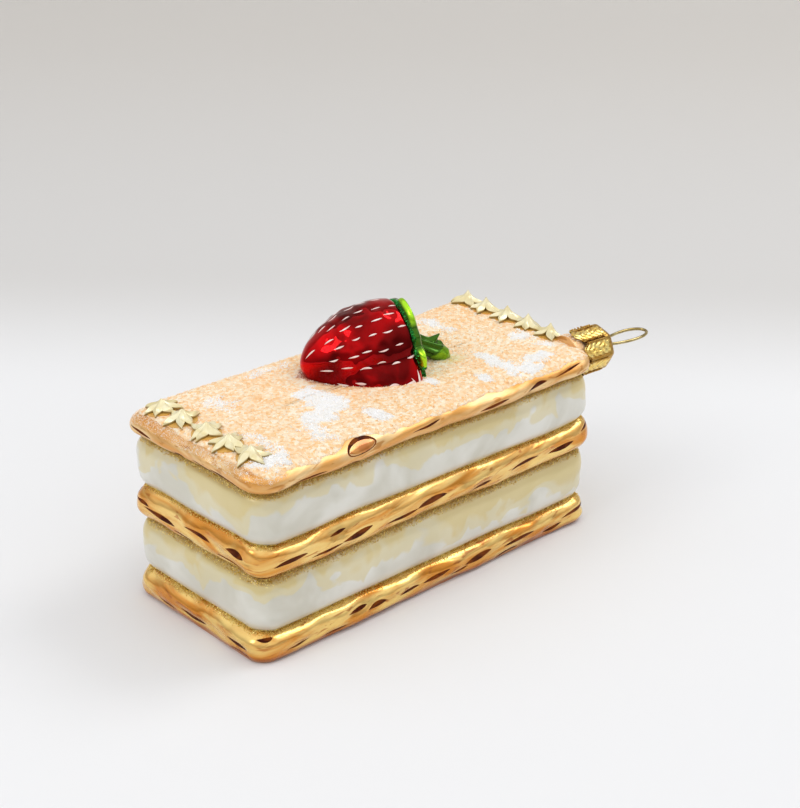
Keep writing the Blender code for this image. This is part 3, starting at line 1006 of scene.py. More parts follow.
# The loose sugar grains --------------------------------------------------------------------------
# Clear and peach flakes stand out of the coat all over, white ones fill the drifts, and finer ones
# cling to the bare rim at the end and to the neck's root. Each grain is a small six-sided chip.

PEACH_GRAINS = 16000
WHITE_GRAINS = 15000
RIM_GRAINS = 4400
END_RIM = -47.0 * MM
NECK_ROOT = 49.5 * MM
bare_surface = ray_tree(pastry_top, neck)
sugar_surface = ray_tree(sugar)


def chip_blank():
    """A flat chip with six faces."""
    select_nothing()
    bpy.ops.mesh.primitive_cone_add(vertices=3, radius1=1.0, radius2=0.0, depth=1.0)
    chip = take_new("chip_blank")
    bpy.ops.object.mode_set(mode="EDIT")
    pick("FACE", lambda face: face.normal.z < -0.9)
    bpy.ops.mesh.extrude_region_move(TRANSFORM_OT_translate={"value": (0.0, 0.0, -0.8)})
    bpy.ops.mesh.merge(type="CENTER")
    bpy.ops.object.mode_set(mode="OBJECT")
    return chip


def scatter(name, blank, seats):
    """Joined copies of a blank, one at each seat: place, size, flatness and turn."""
    verts, faces = [], []
    corners = [vert.co.copy() for vert in blank.data.vertices]
    sides = [tuple(face.vertices) for face in blank.data.polygons]
    for place, size, flatness, turn in seats:
        start = len(verts)
        for corner in corners:
            verts.append(place + turn @ Vector((corner.x, corner.y, corner.z * flatness)) * size)
        faces += [tuple(start + index for index in side) for side in sides]
    mesh = bpy.data.meshes.new(name)
    mesh.from_pydata(verts, [], faces)
    mesh.update()
    piece = bpy.data.objects.new(name, mesh)
    bpy.context.scene.collection.objects.link(piece)
    return piece


def any_turn(chance):
    """A turn in any direction."""
    spins = [chance.uniform(0.0, 2.0 * math.pi) for _ in range(3)]
    turn = Matrix.Rotation(spins[0], 3, "X") @ Matrix.Rotation(spins[1], 3, "Y")
    return turn @ Matrix.Rotation(spins[2], 3, "Z")


def seats_on_top(count, chance, keep, low, high):
    """Seats for grains on the sugar coat, kept where a test of their place allows."""
    surface = ray_tree(sugar, pastry_top, neck)
    half_x, half_y = SLICE_LENGTH / 2 + 0.7 * MM, SLICE_WIDTH / 2 + 0.4 * MM
    seats = []
    while len(seats) < count:
        x, y = chance.uniform(-half_x, half_x), chance.uniform(-half_y, half_y)
        if not keep(x, y, chance):
            continue
        hit, normal = drop_onto(surface, x, y)
        if hit is None or normal.z < 0.2:
            continue
        size = chance.uniform(low, high)
        lift = chance.uniform(-0.1, 0.5) * size
        seats.append((hit + Vector((0.0, 0.0, lift)), size, chance.uniform(0.35, 0.8), any_turn(chance)))
    return seats


def on_rim(x, y):
    """Whether a place lies on the bare rim or the neck's root, outside the sugar coat."""
    coat, _ = drop_onto(sugar_surface, x, y)
    rim, _ = drop_onto(bare_surface, x, y)
    return coat is None or (rim is not None and rim.z > coat.z)


def on_coat(x, y):
    """Whether a place lies on the sugar coat, clear of the berry."""
    return near_berry(x, y) > -0.8 * MM and not on_rim(x, y)


def in_the_open(x, y, chance):
    return on_coat(x, y) and drift(x, y) < chance.uniform(0.2, 1.0)


def in_a_drift(x, y, chance):
    return on_coat(x, y) and drift(x, y) > chance.uniform(0.15, 0.65)


def sanded(x, y, chance):
    """The bare places that finer grains stick to: the end's rim and the top of the neck's root."""
    at_neck = NECK_ROOT < x < NECK_CENTRE.x + 0.6 * MM and abs(y - NECK_CENTRE.y) < 5.5 * MM
    return (x < END_RIM or at_neck) and on_rim(x, y)


def make_flakes(name, pale, deep, grains=1500.0, **values):
    """A material for loose grains, whose tone changes from grain to grain."""
    material, tree, shader = start_material(name, **values)
    give_colour(tree, shader, grained(tree, pale, deep, grains).outputs["Color"])
    return material


chip = chip_blank()
chance = random.Random(101)
seats = seats_on_top(PEACH_GRAINS, chance, in_the_open, 0.13 * MM, 0.24 * MM)
seats += seats_on_top(RIM_GRAINS, chance, sanded, 0.08 * MM, 0.15 * MM)
peach_grains = scatter("peach_grains", chip, seats)
flake = make_flakes(
    "peach_flake", (255, 253, 244), (250, 204, 140), Roughness=0.3, Metallic=0.1, Coat_Weight=0.4
)
finish_piece(peach_grains, flake)

seats = seats_on_top(WHITE_GRAINS, chance, in_a_drift, 0.14 * MM, 0.30 * MM)
white_grains = scatter("white_grains", chip, seats)
snow = make_flakes("white_flake", (255, 255, 255), (252, 249, 243), Roughness=0.3, Coat_Weight=0.4)
finish_piece(white_grains, snow)


# The gold glitter lines --------------------------------------------------------------------------
# Gold glitter is stuck in a line along each groove where cream meets pastry.

GLITTER_PER_LINE = 8200
# Each line's boundary, and how far the glitter reaches below and above it.
GLITTER_LINES = tuple(
    (boundary, below * MM, above * MM)
    for boundary, below, above in ((1, -0.9, 0.7), (2, -1.6, 0.5), (3, -0.9, 0.7), (4, -1.6, 0.5))
)


def glitter_seats(boundary, below, above, surface, chance):
    """Seats along one boundary, thickest in the middle of the line."""
    seats = []
    while len(seats) < GLITTER_PER_LINE:
        share = chance.random()
        point, out, turn = go_round(share, PASTRY_CORNER)
        level = boundary_height(boundary, turn) + chance.triangular(below, above)
        start = leaned(Vector((*(point + out * 8.0 * MM), level)))
        hit, normal, _, _ = surface.ray_cast(start, -Vector((out.x, out.y, 0.0)))
        if hit is None:
            continue
        size = chance.uniform(0.11, 0.21) * MM
        place = hit + normal * size * chance.uniform(0.1, 0.7)
        seats.append((place, size, chance.uniform(0.3, 0.7), any_turn(chance)))
    return seats


layers_surface = ray_tree(
    pastry_bottom, pastry_middle, pastry_top, bpy.data.objects["cream_lower"], bpy.data.objects["cream_upper"]
)
chance = random.Random(77)
seats = []
for boundary, below, above in GLITTER_LINES:
    seats += glitter_seats(boundary, below, above, layers_surface, chance)
gold_glitter = scatter("gold_glitter", chip, seats)
gold = make_flakes("gold_glitter", (255, 238, 150), (208, 168, 62), Metallic=0.6, Roughness=0.3)
finish_piece(gold_glitter, gold)


# The strawberry ----------------------------------------------------------------------------------
# Blown with the slice and silvered inside, then sprayed with see-through crimson, so that it
# shines like a red mirror. The spray is patchy, and its dark maroon patches are partly its own
# unevenness and partly painted reflections of dark surroundings. Its skin dips a little at each seed.

BERRY_SIDES, BERRY_RINGS = 128, 80
SEED_ROWS = 18
SEEDS_PER_ROW = 6
SEED_LENGTH = 2.5 * MM
SEED_WIDTH = 0.42 * MM
SEED_DIP = 0.16 * MM
BERRY_WAVE = 0.36 * MM


def berry_frame():
    return Matrix.Rotation(BERRY_YAW, 3, "Z") @ Matrix.Rotation(-BERRY_PITCH, 3, "Y")


def on_berry(share, around, radius):
    """A point on or round the berry's axis."""
    return BERRY_TIP + berry_frame() @ Vector(
        (share * BERRY_LENGTH, radius * math.cos(around), radius * math.sin(around))
    )


def round_ball(vert):
    """Where a point of a ball is: its share of the way along X, and its angle round X."""
    share = math.acos(max(-1.0, min(1.0, -vert.co.x))) / math.pi
    return share, math.atan2(vert.co.z, vert.co.y)


def lay_out_seeds():
    """Seeds in rows from the tip to the leaves, every other row half a step along."""
    chance = random.Random(8)
    seeds = []
    for row in range(SEED_ROWS):
        around = 2.0 * math.pi * row / SEED_ROWS
        for number in range(SEEDS_PER_ROW):
            share = 0.10 + 0.84 * (number + (0.5 if row % 2 else 0.0)) / SEEDS_PER_ROW
            share += chance.uniform(-0.018, 0.018)
            if share > 0.2 or row % 3 == 0:
                seeds.append((share, around + chance.uniform(-0.06, 0.06), chance.uniform(0.75, 1.2)))
    return seeds


seeds = lay_out_seeds()
seed_points = [
    on_berry(share, around, berry_radius(share) * berry_foot(around, share)) for share, around, _ in seeds
]

berry = ball_on_x("berry", BERRY_SIDES, BERRY_RINGS)
for vert in berry.data.vertices:
    share, around = round_ball(vert)
    radius = 0.0 if share > 0.999 else berry_radius(share) * berry_foot(around, share)
    place = on_berry(share, around, radius)
    seat = place / (4.0 * MM)
    wave = BERRY_WAVE * (noise.noise(seat) + 0.5 * noise.noise(seat * 2.3)) * math.sin(math.pi * share)
    dip = max(math.exp(-(((place - point).length / (1.4 * MM)) ** 2)) for point in seed_points)
    vert.co = on_berry(share, around, max(0.0, radius - wave - SEED_DIP * dip))
berry.data.update()
smooth(berry, 80.0)

# The dark maroon patches are partly the spray's unevenness and partly painted reflections.
crimson = make_lacquer(
    "crimson_mirror",
    (214, 6, 16),
    (112, 0, 4),
    90.0,
    0.15,
    Metallic=1.0,
    Roughness=0.05,
    Coat_Weight=0.12,
    Coat_Roughness=0.02,
)
finish_piece(berry, crimson)


# The berry's seeds -------------------------------------------------------------------------------
# Short dashes of white enamel in the dips, one brush touch each, with a smear of the same white low
# down by the leaves.

# The smear's touches: share of the length, degrees round, length in mm, degrees of slant.
BERRY_SMEAR = (
    (0.86, 207.0, 3.2, 60.0),
    (0.83, 212.0, 2.6, 95.0),
    (0.88, 213.0, 3.0, 20.0),
    (0.80, 216.0, 3.4, -10.0),
    (0.90, 202.0, 2.2, 100.0),
)
berry_surface = ray_tree(berry)


def berry_ray(share, around, slant=0.0):
    """Rays at the berry from outside, round a place on it, turned by a stroke's slant."""

    def start_of(along, across):
        run = along * math.cos(slant) - across * math.sin(slant)
        side = along * math.sin(slant) + across * math.cos(slant)
        at = share + run / BERRY_LENGTH
        turn = around + side / max(berry_radius(min(0.98, max(0.05, share))), 2.0 * MM)
        outside = on_berry(at, turn, 3.0 * BERRY_RADIUS)
        inside = on_berry(at, turn, 0.0)
        return outside, (inside - outside).normalized()

    return start_of


white_enamel = make_lacquer(
    "white_enamel", (240, 206, 198), (252, 240, 232), 420.0, 0.2, Roughness=0.35, Coat_Weight=0.3
)

chance = random.Random(19)
laid = []
for share, around, size in seeds:
    if share > 0.93:
        continue
    rays = berry_ray(share, around)
    bend = chance.uniform(-0.25, 0.25) * MM
    laid.append(paint_stroke(blank, berry_surface, rays, SEED_WIDTH, SEED_LENGTH * size, 0.08 * MM, bend))
for share, around, length, turn in BERRY_SMEAR:
    rays = berry_ray(share, math.radians(around), math.radians(turn))
    laid.append(paint_stroke(blank, berry_surface, rays, 0.5 * MM, length * MM, 0.09 * MM, 0.2 * MM))
berry_seeds = join("berry_seeds", laid)
smooth(berry_seeds, 60.0)
finish_piece(berry_seeds, white_enamel)


# The leaves and the stem -------------------------------------------------------------------------
# A collar of rounded sepals round the berry's broad end, the bent stem with a spike, and its knob.
# They are sprayed dark green and lime, and green glitter edges the sepals on the berry's side.

CALYX_RADIUS = 9.6 * MM
CALYX_MIDDLE = -0.4 * MM
CALYX_FRONT = 2.7 * MM
CALYX_BACK = 1.5 * MM
# The sepals: degrees round, how far one stands out, half its width in degrees, and how lime it is.
SEPALS = (
    (117.0, 1.9, 25.0, 1.0),
    (28.0, 0.8, 22.0, 1.0),
    (-30.0, 1.2, 22.0, 1.0),
    (-85.0, 1.0, 20.0, 0.6),
    (160.0, 1.0, 18.0, 0.0),
    (-170.0, 3.2, 15.0, 1.0),
    (-148.0, 3.6, 11.0, 0.0),
)
STEM_LENGTH = 13.5 * MM
STEM_YAW = BERRY_YAW + math.radians(-10.0)
STEM_PITCH = math.radians(-30.0)
# The stem's thickness, as shares of its length and radii in mm.
STEM_RADII = ((0.0, 1.7), (0.3, 1.8), (0.5, 2.1), (0.68, 2.4), (0.84, 1.9), (0.95, 0.8), (1.0, 0.0))
STEM_FOLDS = 0.14


def along_stem(place):
    start = on_berry(1.0, 0.0, 0.0)
    turn = Matrix.Rotation(STEM_YAW, 3, "Z") @ Matrix.Rotation(-STEM_PITCH, 3, "Y")
    return start + turn @ place


def calyx_point(share, around):
    """A point on the collar a share of the way from its front to its back, and how lime it is."""
    tilt = math.pi * share
    stand, lime_here = 0.0, 0.0
    for degrees, height, half, lime in SEPALS:
        off = (math.degrees(around) - degrees + 180.0) % 360.0 - 180.0
        bump = math.exp(-((off / half) ** 4)) if lime else max(0.0, 1.0 - abs(off) / half)
        stand = max(stand, height * bump)
        lime_here = max(lime_here, lime * bump)
    rim = math.sin(tilt) ** 0.35
    radius = CALYX_RADIUS * rim + stand * MM * math.sin(tilt) ** 3
    depth = CALYX_FRONT if share < 0.5 else CALYX_BACK
    along = BERRY_LENGTH + CALYX_MIDDLE - depth * math.cos(tilt)
    return on_berry(along / BERRY_LENGTH, around, radius), lime_here


calyx = ball_on_x("calyx", 180, 48)
lime = calyx.data.attributes.new("lime", "FLOAT", "POINT")
for vert in calyx.data.vertices:
    share, around = round_ball(vert)
    vert.co, lime_here = calyx_point(share, around)
    inwards = max(0.0, min(1.0, (share - 0.74) / 0.2))
    lime.data[vert.index].value = lime_here * max(0.0, min(1.0, (share - 0.34) * 12.0)) * (1.0 - inwards)
calyx.data.update()
smooth(calyx, 80.0)


def stem_radius(share):
    for (low, thin), (high, thick) in zip(STEM_RADII, STEM_RADII[1:]):
        if share <= high:
            part = (share - low) / (high - low)
            part = part * part * (3.0 - 2.0 * part) if high < 1.0 else math.sqrt(part)
            return (thin + (thick - thin) * part) * MM
    return 0.0


stem = ball_on_x("stem", 96, 64)
lime = stem.data.attributes.new("lime", "FLOAT", "POINT")
for vert in stem.data.vertices:
    share, around = round_ball(vert)
    lime_here = max(0.0, min(1.0, (share - 0.60 - 0.08 * math.sin(around)) * 16.0))
    fold = 1.0 + STEM_FOLDS * (1.0 - lime_here) * math.cos(7.0 * around + 5.0 * share)
    spike = max(0.0, 1.0 - abs(share - 0.50) / 0.09) ** 1.3 * max(0.0, math.sin(around)) ** 16
    radius = stem_radius(share) * fold + 1.9 * MM * spike
    if share < 0.001:
        radius = 0.0
    along = share * STEM_LENGTH + 0.8 * MM * spike
    vert.co = along_stem(Vector((along, radius * math.cos(around), radius * math.sin(around))))
    lime.data[vert.index].value = 0.5 * lime_here * (1.0 - spike)
stem.data.update()
smooth(stem, 80.0)

leaf_green, tree, shader = start_material(
    "leaf_lacquer", Metallic=0.75, Roughness=0.2, Coat_Weight=0.15, Coat_Roughness=0.04
)
cloud = cloudy(tree, own_coordinates(tree), 260.0, 2.0)
amount = eased(tree, math_node(tree, "MULTIPLY_ADD", cloud, 0.4, painted_mask(tree, "lime")), 0.40, 1.05)
give_colour(tree, shader, mixed(tree, amount, tint(58, 100, 4), tint(172, 232, 40)))
for piece in (calyx, stem):
    finish_piece(piece, leaf_green)

GREEN_GRAINS = 5200
chance = random.Random(303)
seats = []
while len(seats) < GREEN_GRAINS:
    around = chance.uniform(-math.pi, math.pi)
    share = chance.uniform(0.24, 0.52)
    place, lime_here = calyx_point(share, around)
    edge = 0.40 - 0.06 * lime_here + chance.gauss(0.0, 0.02)
    if share > edge and not -165.0 < math.degrees(around) < -135.0:
        continue
    size = chance.uniform(0.12, 0.24) * MM
    seats.append((place, size, chance.uniform(0.3, 0.7), any_turn(chance)))
green_glitter = scatter("green_glitter", chip, seats)
emerald = make_flakes("green_glitter", (70, 190, 96), (6, 96, 40), 1800.0, Metallic=1.0, Roughness=0.25)
finish_piece(green_glitter, emerald)


# The cream stars ---------------------------------------------------------------------------------
# Two rows of piped stars, moulded with the glass: six leaf-shaped ridges run down from a peak
# and curl aside at their points. They are pale pearl, with gold left in the hollows between them,
# and painted olive shade along the lower sides and undersides of the ridges.

STAR_RADIUS = 4.8 * MM
STAR_HEIGHTS = (2.9 * MM, 3.7 * MM)
STAR_ARMS = 6
ARM_HALF_WIDTH = 1.3 * MM
ARM_RIDGE = 0.75 * MM
ARM_CURL = 1.5 * MM
STAR_FOOT = 0.3 * MM
STAR_ROWS = (
    (-49.8 * MM, [y * MM for y in (-15.6, -7.6, 0.3, 9.1, 17.0)]),
    (51.0 * MM, [y * MM for y in (-10.3, -2.5, 4.8, 12.5, 19.2)]),
)

star_pearl, tree, shader = start_material(
    "star_pearl", Metallic=0.15, Roughness=0.24, Coat_Weight=0.6, Coat_Roughness=0.08
)
# Painted olive shade on the ridges' lower sides and undersides, and gold paint on the ground between them.
gold_and_shade = painted_mask(tree, "gold_and_shade")
spray = sprayed(tree, (246, 237, 196), (230, 212, 154), 300.0, 0.2)
colour = mixed(tree, eased(tree, gold_and_shade, 0.10, 0.55), spray.outputs["Color"], tint(150, 124, 62))
give_colour(tree, shader, mixed(tree, eased(tree, gold_and_shade, 0.65, 0.95), colour, tint(226, 172, 84)))


def top_height(x, y):
    """The height of the slice's top at a place, and of its rim just beyond it."""
    hit, _ = drop_onto(top_surface, x, y)
    if hit is None or hit.z < BOUNDARIES[5] - 3.0 * MM:
        return BOUNDARIES[5] - 1.5 * MM
    return hit.z


def star_arm(blank, centre, peak, direction, length, curl, chance):
    """One ridge of a star, drawn out from the blank ball along a direction."""
    arm = copy_of(blank, "arm")
    gold_and_shade = arm.data.attributes.new("gold_and_shade", "FLOAT", "POINT")
    ahead = Vector((math.cos(direction), math.sin(direction)))
    aside = Vector((-ahead.y, ahead.x))
    stretch = chance.uniform(0.85, 1.1)
    for vert in arm.data.vertices:
        run, across, up = (vert.co.x + 1.0) / 2.0, vert.co.y, vert.co.z
        width = ARM_HALF_WIDTH * stretch * math.sin(math.pi * min(1.0, run**0.8)) ** 0.8
        spot = centre + ahead * run * length + aside * (across * width + curl * run**2.2)
        rise = peak * (1.0 - run) ** 4 + 0.9 * MM * math.sin(math.pi * run) ** 0.7 + 0.5 * MM * run**3
        top = top_height(spot.x, spot.y)
        sharp = max(0.0, 1.0 - abs(across))
        if up >= 0.0:
            height = top + rise + ARM_RIDGE * stretch * (0.25 + 0.75 * sharp) * up**0.7
        else:
            height = top - STAR_FOOT + (rise + STAR_FOOT) * (1.0 + up)
        # The ridge's lower side and underside are marked for painted olive shade.
        gold_and_shade.data[vert.index].value = max(0.0, min(0.6, 0.40 - 1.3 * up))
        vert.co = Vector((spot.x, spot.y, height))
    arm.data.update()
    return arm


def star_floor(centre):
    """The gold ground between a star's arms."""
    ground = drum("star_floor", 40, 1, 5)
    gold_and_shade = ground.data.attributes.new("gold_and_shade", "FLOAT", "POINT")
    for vert in ground.data.vertices:
        reach = min(1.0, math.hypot(vert.co.x, vert.co.y))
        spot = centre + Vector((vert.co.x, vert.co.y)) * 0.72 * STAR_RADIUS
        lift = 0.45 * MM + 0.9 * MM * (1.0 - reach) ** 2 if vert.co.z > 0.5 else -STAR_FOOT
        vert.co = Vector((spot.x, spot.y, top_height(spot.x, spot.y) + lift))
        gold_and_shade.data[vert.index].value = 1.0
    ground.data.update()
    return ground


arm_blank = ball_on_x("arm_blank", 24, 22)
for row, (centre_x, centres_y) in enumerate(STAR_ROWS):
    for number, centre_y in enumerate(centres_y):
        chance = random.Random(10 * row + number)
        centre = Vector((centre_x, centre_y))
        spin = 0.9 * number + 0.5 * row
        pieces = [star_floor(centre)]
        for arm in range(STAR_ARMS):
            direction = spin + 2.0 * math.pi * arm / STAR_ARMS + chance.uniform(-0.18, 0.18)
            length = STAR_RADIUS * chance.uniform(0.82, 1.05)
            curl = ARM_CURL * chance.choice((-1.0, 0.6, 1.0))
            pieces.append(star_arm(arm_blank, centre, STAR_HEIGHTS[row], direction, length, curl, chance))
        star = join(f"star_{row}_{number}", pieces)
        smooth(star, 50.0)
        finish_piece(star, star_pearl)


# The crown cap -----------------------------------------------------------------------------------
# Thin brass stamped into a disc with seven petals, which are bent down flat round the neck. Each
# petal has cut-off corners, a beaded edge and raised leaves, and the slits between them look dark.
# Shade is painted dark brown where the stamping is low: between the leaves and along the petals' sides.

CAP_PETALS = 7
CAP_RADIUS = 5.7 * MM
CAP_START = -0.5 * MM
CAP_END = 10.4 * MM
CAP_SHEET = 0.22 * MM
CAP_SLIT_TURN = math.radians(28.4)
CAP_FLATNESS = 0.8
PETAL_COLUMNS = 22
PETAL_LEVELS = 44
PETAL_CHAMFER = 1.9 * MM
# How much further back each petal reaches: the one over the slice's top most, the one behind it least.
PETAL_EXTRAS = [extra * MM for extra in (-3.0, 0.9, 0.0, 0.0, 0.0, 0.0, 0.0)]
SLIT_SHARE = 0.06
SLIT_DEEP = 0.74
BEAD_RADIUS = 0.27 * MM


def cap_point(around, along, lift=0.0):
    """A point of the cap's wall at an angle and a distance from its disc. The petals lie flat."""
    length = CAP_END - CAP_START
    share = along / length
    shoulder = max(0.0, 1.0 - share / 0.17)
    step = 2.0 * math.pi / CAP_PETALS
    off = (around - CAP_SLIT_TURN) % step - step / 2
    flat = 1.045 * math.cos(step / 2) / math.cos(off)
    radius = CAP_RADIUS * (1.0 + CAP_FLATNESS * (flat - 1.0))
    radius = radius * (1.0 - 0.22 * shoulder**2.0) + lift
    return Vector((CAP_END - along, radius * math.cos(around), radius * math.sin(around)))


def petal_end(petal, across):
    """How far a petal reaches from the disc, which is less at its cut-off corners."""
    reach = CAP_END - CAP_START - PETAL_CHAMFER * max(0.0, abs(across) - 0.35) / 0.65
    return reach + PETAL_EXTRAS[petal % CAP_PETALS]


def petal_emboss(across, along_share):
    """The leaves and the rim stamped into a petal, from 0 to 1."""
    field = math.exp(-((across / 0.68) ** 6)) * min(1.0, 6.0 * max(0.0, along_share - 0.12))
    leaves = 0.5 + 0.5 * math.cos(40.0 * along_share + 9.0 * abs(across))
    twigs = 0.5 + 0.5 * math.cos(23.0 * along_share - 14.0 * across)
    return field * (0.6 * leaves + 0.4 * twigs)


cap = drum("cap_shell", CAP_PETALS * PETAL_COLUMNS, PETAL_LEVELS, 8)
bpy.ops.object.mode_set(mode="EDIT")
bpy.ops.mesh.select_mode(type="FACE")
pick("FACE", lambda face: face.normal.z < -0.9)
bpy.ops.mesh.delete(type="FACE")
slit_column = 2.0 * math.pi / (CAP_PETALS * PETAL_COLUMNS)


def in_slit(face):
    middle = face.calc_center_median()
    column = int(math.atan2(middle.y, middle.x) % (2.0 * math.pi) / slit_column)
    return column % PETAL_COLUMNS == 0 and middle.z < SLIT_DEEP and abs(face.normal.z) < 0.5


pick("FACE", in_slit)
bpy.ops.mesh.delete(type="FACE")
bpy.ops.object.mode_set(mode="OBJECT")
relief = cap.data.attributes.new("relief", "FLOAT", "POINT")
for vert in cap.data.vertices:
    around = math.atan2(vert.co.y, vert.co.x) % (2.0 * math.pi)
    reach = min(1.0, math.hypot(vert.co.x, vert.co.y))
    petal, step = divmod(round(around / slit_column), PETAL_COLUMNS)
    petal %= CAP_PETALS
    step_share = 0.0 if step == 0 else SLIT_SHARE + (1.0 - SLIT_SHARE) * (step - 1) / (PETAL_COLUMNS - 1)
    around = 2.0 * math.pi * (petal + step_share - SLIT_SHARE / 2) / CAP_PETALS + CAP_SLIT_TURN
    across = 2.0 * (step_share - SLIT_SHARE) / (1.0 - SLIT_SHARE) - 1.0 if step else 1.0
    stamped = 1.0
    if reach > 0.999:
        length = CAP_END - CAP_START
        root = 1.0 - SLIT_DEEP
        along_share = 1.0 - vert.co.z
        if along_share > root:
            tip = petal_end(petal if step else petal - 1, across) / length
            along_share = root + (along_share - root) / SLIT_DEEP * (tip - root)
        stamped = petal_emboss(across, along_share)
        flare = 0.35 * MM * max(0.0, along_share - 0.75) / 0.25
        place = cap_point(around, along_share * length, 0.34 * MM * stamped + flare)
    else:
        place = cap_point(around, 0.0)
        dome = 0.0 if reach < 0.3 else 0.12 * MM * math.sin(12.0 * reach)
        place = Vector((CAP_END + 0.15 * MM * (1.0 - reach) + dome, place.y * reach, place.z * reach))
    relief.data[vert.index].value = stamped
    vert.co = along_neck(place)
cap.data.update()
select_only(cap)
sheet = cap.modifiers.new("sheet", "SOLIDIFY")
sheet.thickness = CAP_SHEET
sheet.offset = -1.0
bpy.ops.object.modifier_apply(modifier="sheet")
smooth(cap, 50.0)

cap_gold, tree, shader = start_material("stamped_gold", Metallic=0.95, Roughness=0.32, Coat_Weight=0.15)
spray = sprayed(tree, (255, 234, 148), (252, 208, 104), 420.0, 0.2)
# Painted shade: dark brown where the stamping is low, between the leaves and along the petals' sides.
crevice_shade = math_node(tree, "SUBTRACT", 1.0, eased(tree, painted_mask(tree, "relief"), 0.02, 0.42))
give_colour(tree, shader, laid_over(tree, crevice_shade, 0.75, spray.outputs["Color"], tint(156, 104, 26)))
stamp = add(tree, "ShaderNodeTexVoronoi", {"Vector": own_coordinates(tree), "Scale": 1300.0})
give_bump(tree, shader, 0.5, 0.25 * MM, stamp.outputs["Distance"])
finish_piece(cap, cap_gold, "cap")

select_nothing()
bpy.ops.mesh.primitive_ico_sphere_add(subdivisions=1, radius=1.0)
bead = take_new("bead_blank")
seats = []
for petal in range(CAP_PETALS):
    middle = 2.0 * math.pi * (petal + 0.5) / CAP_PETALS + CAP_SLIT_TURN
    half = math.pi / CAP_PETALS * (1.0 - SLIT_SHARE) - 0.05
    for side in (-1.0, 1.0):
        root, tip = 0.30 * (CAP_END - CAP_START), petal_end(petal, 1.0) - 0.3 * MM
        for number in range(11):
            along = root + (tip - root) * number / 10.0
            seats.append(cap_point(middle + side * half, along, 0.12 * MM))
    for number in range(9):
        across = -0.9 + 1.8 * number / 8.0
        seats.append(cap_point(middle + across * half, petal_end(petal, across) - 0.35 * MM, 0.35 * MM))
beads = scatter(
    "cap_beads", bead, [(along_neck(place), BEAD_RADIUS, 1.0, Matrix.Identity(3)) for place in seats]
)
smooth(beads, 80.0)
finish_piece(beads, cap_gold, "cap")


# The wire loop -----------------------------------------------------------------------------------
# Springy brass wire bent into a long drop, its two ends pinched together where they go in through
# the cap's disc.

LOOP_WIRE = 0.8 * MM
LOOP_LENGTH = 15.1 * MM
LOOP_PITCH = math.radians(0.5)
LOOP_WIDTH = 7.0 * MM
LOOP_PINCH = 0.4
LOOP_BASE = 11.1 * MM
LOOP_SIDES = 128

select_nothing()
bpy.ops.mesh.primitive_torus_add(
    major_segments=LOOP_SIDES, minor_segments=14, major_radius=1.0, minor_radius=LOOP_WIRE / 2
)
loop = take_new("wire_loop")


def loop_centre(angle):
    share = (1.0 + math.cos(angle)) / 2.0
    width = LOOP_WIDTH / 2.0 * math.sin(angle) * (1.0 - LOOP_PINCH * (1.0 - share))
    return Vector((LOOP_BASE + LOOP_LENGTH * share, width, 0.0))


loop_turn = Matrix.Rotation(NECK_YAW, 3, "Z") @ Matrix.Rotation(-LOOP_PITCH, 3, "Y")
for vert in loop.data.vertices:
    angle = math.atan2(vert.co.y, vert.co.x)
    off, up = math.hypot(vert.co.x, vert.co.y) - 1.0, vert.co.z
    centre = loop_centre(angle)
    along = (loop_centre(angle + 0.01) - loop_centre(angle - 0.01)).normalized()
    outwards = Vector((along.y, -along.x, 0.0))
    vert.co = NECK_CENTRE + loop_turn @ (centre + outwards * off + Vector((0.0, 0.0, up)))
loop.data.update()
smooth(loop, 80.0)

brass = make_lacquer(
    "brass_wire", (206, 188, 136), (140, 118, 66), 260.0, 0.25, Metallic=1.0, Roughness=0.16
)
finish_piece(loop, brass, "hanger")

for spare in (blank, arm_blank, chip, bead):
    bpy.data.objects.remove(spare, do_unlink=True)


# The floor and the backdrop ----------------------------------------------------------------------
# One white sheet that lies flat under the ornament and sweeps up behind it.

SHEET_WIDTH, SHEET_LENGTH = 8.0, 6.0
# How far forward the sheet's middle lies, where it starts to sweep up, and how tightly.
SHEET_FORWARD = 0.6
SWEEP_BACK = 0.62
SWEEP_RADIUS = 0.35
VIEW_YAW = 0.7598

select_nothing()
bpy.ops.mesh.primitive_plane_add(size=1.0)
sweep = take_new("sweep")
bpy.ops.object.mode_set(mode="EDIT")
bpy.ops.mesh.select_all(action="SELECT")
bpy.ops.mesh.subdivide(number_cuts=63)
bpy.ops.object.mode_set(mode="OBJECT")
sweep_turn = Matrix.Rotation(-VIEW_YAW, 3, "Z")
for vert in sweep.data.vertices:
    x, run = vert.co.x * SHEET_WIDTH, vert.co.y * SHEET_LENGTH - SHEET_FORWARD
    if run < SWEEP_BACK:
        place = Vector((x, run, 0.0))
    elif run < SWEEP_BACK + SWEEP_RADIUS * math.pi / 2:
        angle = (run - SWEEP_BACK) / SWEEP_RADIUS
        place = Vector((x, math.sin(angle), 1.0 - math.cos(angle))) * SWEEP_RADIUS
        place = Vector((x, SWEEP_BACK + place.y, place.z))
    else:
        place = Vector((x, SWEEP_BACK + SWEEP_RADIUS, run - SWEEP_BACK - SWEEP_RADIUS * (math.pi / 2 - 1.0)))
    vert.co = sweep_turn @ place
sweep.data.update()
smooth(sweep, 80.0)
# The sheet is paper white under the ornament and painted a little greyer the further back it lies,
# as painted shade where less light reaches it.
paper, tree, shader = start_material("white_sheet", Roughness=0.8)
place = add(tree, "ShaderNodeTexCoord")
back = add(
    tree,
    "ShaderNodeVectorMath",
    {0: place.outputs["Object"], 1: (math.sin(VIEW_YAW), math.cos(VIEW_YAW), 0.0)},
    operation="DOT_PRODUCT",
).outputs["Value"]
near = mixed(tree, eased(tree, back, 0.09, 0.20), tint(233, 233, 233), tint(209, 207, 204))
give_colour(tree, shader, mixed(tree, eased(tree, back, 0.20, 0.60), near, tint(207, 203, 197)))
sweep.data.materials.append(paper)


# The light ---------------------------------------------------------------------------------------
# A small softbox high on the right, a weak one on the left, and a pale room that is brighter above.

